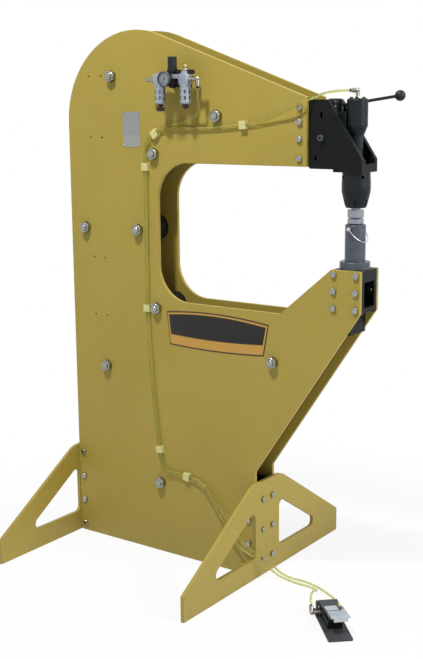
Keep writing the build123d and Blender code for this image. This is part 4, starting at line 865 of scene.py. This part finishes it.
badge_layers = []
for name, inset, low, back, thickness in (
    ("badge_rim", 0, 0, film, 0.8),
    ("badge_ground", 3.8, 3.8, 0.85, 0.7),
    ("badge_field_rim", 8.4, 31, 1.57, 0.3),
    ("badge_field", 10.2, 32.8, 1.89, 0.4),
):
    layer = cut_plate(name, badge_outline(inset, low), face_y - back, thickness)
    pick("edges", on_front_rim)
    bpy.ops.mesh.bevel(offset=0.00015, segments=2)
    badge_layers.append(close_up(layer, 30))
print("badge layers", len(badge_layers))

# %% [markdown]
# ### Finishes of the plates
#
# The data plate carries two flat greys, a shade apart, with a faint grain that runs one way: a noise
# stretched along X gives it. The badge's gold is a bronze-coloured paint, its field a dark stove enamel,
# and its rims a dark bronze paint.

# %% Finishes of the plates
for name, label, low, high, rough, stretch, extra in (
    # a warm flat gold that hardly mirrors anything
    ("gold_paint", "gold_bronze_paint", "#B78A3A", "#CDA04E", (0.4, 0.52), 1.0, {"Metallic": 0.2}),
    # smooth brown-black
    (
        "stove_black", "black_stove_enamel", "#1A1817", "#242221", (0.3, 0.42), 1.0,
        {"Specular IOR Level": 0.3},
    ),
    # a dark line that parts the gold from the mustard
    ("rim_brown", "dark_bronze_paint", "#33260F", "#43341A", (0.4, 0.5), 1.0, {}),
    # matt grey of the plate's upper rows
    ("plate_grey", "grey_plate_filler", "#8A8F90", "#989C9B", (0.5, 0.6), 0.1, {}),
    # the rows below them, a shade paler
    ("plate_pale", "pale_plate_filler", "#939795", "#A1A5A2", (0.5, 0.6), 0.1, {}),
):
    tree, shader, where = begin_finish(name, label, extra)
    run = add(tree, "ShaderNodeMapping", {"Scale": (stretch, 1, 1)}, {"Vector": where})
    along = run.outputs["Vector"]
    hairs = add(tree, "ShaderNodeTexNoise", {"Scale": per(1.5), "Detail": 4.0}, {"Vector": along})
    vary(tree, shader, hairs, low, high, hairs, rough)
    skin = add(
        tree, "ShaderNodeBump", {"Strength": 0.08, "Distance": 0.0002}, {"Height": hairs.outputs["Fac"]}
    )
    tree.links.new(skin.outputs["Normal"], shader.inputs["Normal"])
set_on(data_plate, "plate_grey", "frame")
data_plate.data.materials.append(finishes["plate_pale"])
for face in data_plate.data.polygons:
    face.material_index = 1 if face.center.z < grey_rows_end / 1000 else 0
for rivet in rivets:
    set_on(rivet, "zinc", "frame")
for layer, finish in zip(badge_layers, ("rim_brown", "gold_paint", "rim_brown", "stove_black")):
    set_on(layer, finish, "frame")

# %% [markdown]
# ## Screws on the hammer and the clamp
#
# Four low cap screws hold the hammer's top, and two set screws sit in the clamp's hub. The first of each
# is turned with its recess in one profile, and the others are copies turned round the tool axis or moved
# down the hub.

# %% Screws on the hammer
head_low, head_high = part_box("hammer_head")
tool_x = (head_low.x + head_high.x) / 2
tool_axis = Vector((tool_x, 0, 0))
upright = Vector((0, 0, 1))
first_turn = radians(20)
screw_circle = 0.0158
first_screw = turn_piece(
    "head_screw_1",
    Vector((tool_x + screw_circle * cos(first_turn), screw_circle * sin(first_turn), head_high.z)),
    upright,
    [(0, 0.02), (4.3, 0.02), (4.3, 2.9), (3.8, 3.4), (2.3, 3.4), (2.3, 1.2), (0, 1.2)],
    steps=24,
)
head_screws = [first_screw]
for count in (2, 3, 4):
    quarter = Matrix.Rotation(radians(90 * (count - 1)), 4, "Z")
    placing = Matrix.Translation(tool_axis) @ quarter @ Matrix.Translation(-tool_axis)
    head_screws.append(copy_to(first_screw, f"head_screw_{count}", placing))
for screw in head_screws:
    set_on(screw, "black_oxide", "frame")

# %% Screws in the clamp's hub
hub_low, hub_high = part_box("clamp_hub")
hub_x = (hub_low.x + hub_high.x) / 2
hub_radius = 0.0198
hub_screw_z, hub_screw_drop = 1.3345, 0.011
hub_screw_turn = radians(-62)
outward = Vector((cos(hub_screw_turn), sin(hub_screw_turn), 0))
upper_screw = turn_piece(
    "hub_screw_1",
    Vector((hub_x, 0, hub_screw_z)) + outward * hub_radius,
    outward,
    [(0, 0.0), (2.9, 0.0), (2.9, 1.2), (2.5, 1.6), (1.4, 1.6), (1.4, 0.6), (0, 0.6)],
    steps=20,
)
lower_screw = copy_to(upper_screw, "hub_screw_2", Matrix.Translation((0, 0, -hub_screw_drop)))
for screw in (upper_screw, lower_screw):
    set_on(screw, "zinc", "clamp")

# %% [markdown]
# ## Plate in the treadle and cover of the joint
#
# The treadle's opening is closed by a bare aluminium plate, sunk a little under its surface. Its outline
# is drawn on the treadle's own sloping plane, filled, pulled up to its thickness, and its face is inset
# to a shallow tray. A small cast cover closes the joint between the regulator and the lubricator: a T in
# plan, whose stem sits between the two bodies, pulled up to its height.

# %% Plate in the treadle
pedal_turn, rise = radians(47), radians(4.9)
pedal_heel = spot(1063.3, -259.6, 38)
heel_to_hinge = 0.160
window = [(36.3, -16.7), (71.7, -16.7), (71.7, 16.7), (36.3, 16.7)]
window_sunk, window_thick = 0.0028, 0.002
toe_way = Vector((-cos(pedal_turn), sin(pedal_turn), 0))
tread_along = upright * sin(rise) - toe_way * cos(rise)
tread_up = toe_way * sin(rise) + upright * cos(rise)
tread_across = tread_up.cross(tread_along)
tread_start = pedal_heel + toe_way * heel_to_hinge
outline = [
    tread_start + tread_along * (a / 1000) + tread_across * (b / 1000) - tread_up * window_sunk
    for a, b in window
]
tread_plate = pull_plate("treadle_plate", outline, tread_up * window_thick)
bpy.ops.mesh.select_all(action="SELECT")
bpy.ops.mesh.normals_make_consistent(inside=False)
pick("faces", lambda face: face.normal.dot(tread_up) > 0.9)
bpy.ops.mesh.inset(thickness=0.002)
bpy.ops.mesh.inset(thickness=0.0006, depth=-0.0005)
close_up(tread_plate, 30)
set_on(tread_plate, "tread", "treadle")

# %% Cover of the joint
plan = [
    (438.4, -110.6), (444.8, -110.6), (444.8, -106.6), (453.2, -106.6), (453.2, -110.6), (458, -110.6),
    (458, -112.4), (438.4, -112.4),
]
cover_low, cover_height = 1399.5, 0.011
cover = pull_plate("joint_cover", [spot(x, y, cover_low) for x, y in plan], upright * cover_height)
bpy.ops.mesh.select_all(action="SELECT")
bpy.ops.mesh.normals_make_consistent(inside=False)
pick("faces", lambda face: face.normal.y < -0.9)
bpy.ops.mesh.inset(thickness=0.0012)
bpy.ops.mesh.inset(thickness=0.0004, depth=0.0004)
close_up(cover, 30)
set_on(cover, "cast", "frame")

# %% [markdown]
# ## Return spring
#
# The pedal's spring gets shorter as the treadle goes down, while the engineering piece keeps its length.
# A new spring stands for it: a spline wound round the plunger, given the wire's thickness and turned into
# a mesh. It keeps its length too and moves with the frame.

# %% Return spring
coil_low, coil_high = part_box("pedal_spring")
wire = 0.0006
turns, steps = 4, 16
coil_radius = (coil_high.x - coil_low.x) / 2 - wire
coil_foot = Vector(((coil_low.x + coil_high.x) / 2, (coil_low.y + coil_high.y) / 2, coil_low.z))
climb = (coil_high.z - coil_low.z - 2 * wire) / (turns * steps)
winding = bpy.data.curves.new("return_spring", "CURVE")
winding.dimensions = "3D"
winding.bevel_depth = wire
winding.bevel_resolution = 2
winding.resolution_u = 3
winding.use_fill_caps = True
spline = winding.splines.new("NURBS")
spline.points.add(turns * steps)
for step, point in enumerate(spline.points):
    turn = 2 * pi * step / steps
    way = Vector((coil_radius * cos(turn), coil_radius * sin(turn), wire + climb * step))
    point.co = (*(coil_foot + way), 1)
spline.order_u = 3
spline.use_endpoint_u = True
spring = bpy.data.objects.new("return_spring", winding)
bpy.context.collection.objects.link(spring)
bpy.ops.object.select_all(action="DESELECT")
spring.select_set(True)
bpy.context.view_layer.objects.active = spring
bpy.ops.object.convert(target="MESH")
bpy.ops.object.mode_set(mode="EDIT")
close_up(spring, 60)
set_on(spring, "chrome", "frame")
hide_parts("pedal_spring")
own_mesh(spring)

# %% [markdown]
# ## Oil and filter
#
# Through the slots of the two bowl guards one sees the oil in the lubricator and the sintered element in
# the filter.

# %% Oil and filter
cups_low, cups_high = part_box("bowl_cups")
cup_radius = 0.0122
bowl_y = (cups_low.y + cups_high.y) / 2
filter_x, oiler_x = cups_low.x + cup_radius, cups_high.x - cup_radius
oil = turn_piece(
    "lubricator_oil",
    Vector((oiler_x, bowl_y, cups_low.z)),
    upright,
    [(0, 1.9), (10.2, 1.9), (10.2, 19.5), (9.6, 19.9), (0, 19.6)],
)
set_on(oil, "oil", "frame")
element = turn_piece(
    "filter_element",
    Vector((filter_x, bowl_y, cups_low.z)),
    upright,
    [(0, 8), (6.4, 8), (7, 8.6), (7, 17), (6.4, 17.6), (7, 18.2), (7, 41.9), (0, 41.9)],
)
set_on(element, "filter_felt", "frame")

# %% [markdown]
# ## Floor and light
#
# The photograph has a plain white ground. The floor is one pale plane whose middle takes the shadow and
# whose edges fade into the white around, so no horizon shows. The bolts and the air unit throw short
# shadows down the plate, so the main lamp is small and stands high in front. A wide lamp on the right, a
# weak one above and a dim sky fill the rest, at a level at which a colour renders about as it is written.

# %% Floor


def seen_directly(tree):
    """Output that is 1 for rays from the camera, a mirror or a clear piece, and 0 for all others."""
    path = add(tree, "ShaderNodeLightPath", {})
    seen = path.outputs["Is Camera Ray"]
    for ray in ("Is Glossy Ray", "Is Transmission Ray"):
        either = add(tree, "ShaderNodeMath", {"operation": "MAXIMUM"}, {0: seen, 1: path.outputs[ray]})
        seen = either.outputs[0]
    return seen


floor_width = 12
bpy.ops.object.select_all(action="DESELECT")
bpy.ops.mesh.primitive_plane_add(size=floor_width)
floor = bpy.context.object
floor.name = "studio_floor"
floor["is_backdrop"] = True
# a matt off-white that the eye takes for the paper of the page
tree, shader, where = begin_finish(
    "floor",
    "pale_studio_floor",
    {"Base Color": paint("#F1F1EF"), "Roughness": 0.9, "Specular IOR Level": 0.0},
)
glow = add(tree, "ShaderNodeEmission", {"Strength": 1.0})
reach = add(tree, "ShaderNodeVectorMath", {"operation": "LENGTH"}, {0: where})
fade = add(
    tree,
    "ShaderNodeMapRange",
    {"interpolation_type": "SMOOTHSTEP", "From Min": 0.5, "From Max": 1.3, "To Min": 0.88, "To Max": 1.0},
    {"Value": reach.outputs["Value"]},
)
share = add(
    tree, "ShaderNodeMath", {"operation": "MULTIPLY"}, {0: fade.outputs["Result"], 1: seen_directly(tree)}
)
mixed = add(
    tree,
    "ShaderNodeMixShader",
    {},
    {0: share.outputs[0], 1: shader.outputs["BSDF"], 2: glow.outputs["Emission"]},
)
tree.links.new(mixed.outputs["Shader"], tree.nodes["Material Output"].inputs["Surface"])
floor.data.materials.append(finishes["floor"])
print("floor", [round(v, 1) for v in floor.dimensions])

# %% World
dim_sky = 0.17
world = bpy.data.worlds.new("white_studio")
bpy.context.scene.world = world
world.use_nodes = True
tree = world.node_tree
sky = tree.nodes["Background"]
level = add(tree, "ShaderNodeMapRange", {"To Min": dim_sky, "To Max": 1.0}, {"Value": seen_directly(tree)})
sky.inputs["Color"].default_value = (1, 1, 1, 1)
tree.links.new(level.outputs["Result"], sky.inputs["Strength"])
print("world", world.name)

# %% Lamps
aim = Vector((0, 0, 0.75))
for name, place, size, watts in (
    ("key_lamp", (0.0, -1.9, 4.2), 0.38, 124),
    ("side_lamp", (3.6, 0.4, 2.4), 2.4, 100),
    ("top_lamp", (-0.2, 0.6, 4.2), 3.0, 8),
):
    bpy.ops.object.light_add(type="AREA", location=place)
    lamp = bpy.context.object
    lamp.name = name
    lamp.data.shape = "DISK"
    lamp.data.size = size
    lamp.data.energy = watts
    lamp.rotation_euler = (aim - Vector(place)).to_track_quat("-Z", "Y").to_euler()
    print(name, watts, "W")
bpy.context.scene.view_settings.view_transform = "Standard"

# %% [markdown]
# ## Size
#
# The dressed machine is meant to stay inside the engineering model's box. The last line prints the box
# that the dressed machine fills, without the floor, and closes the lesson.

# %% Size
low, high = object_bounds()
print("visual box", [round(v, 4) for v in (*low, *high)])
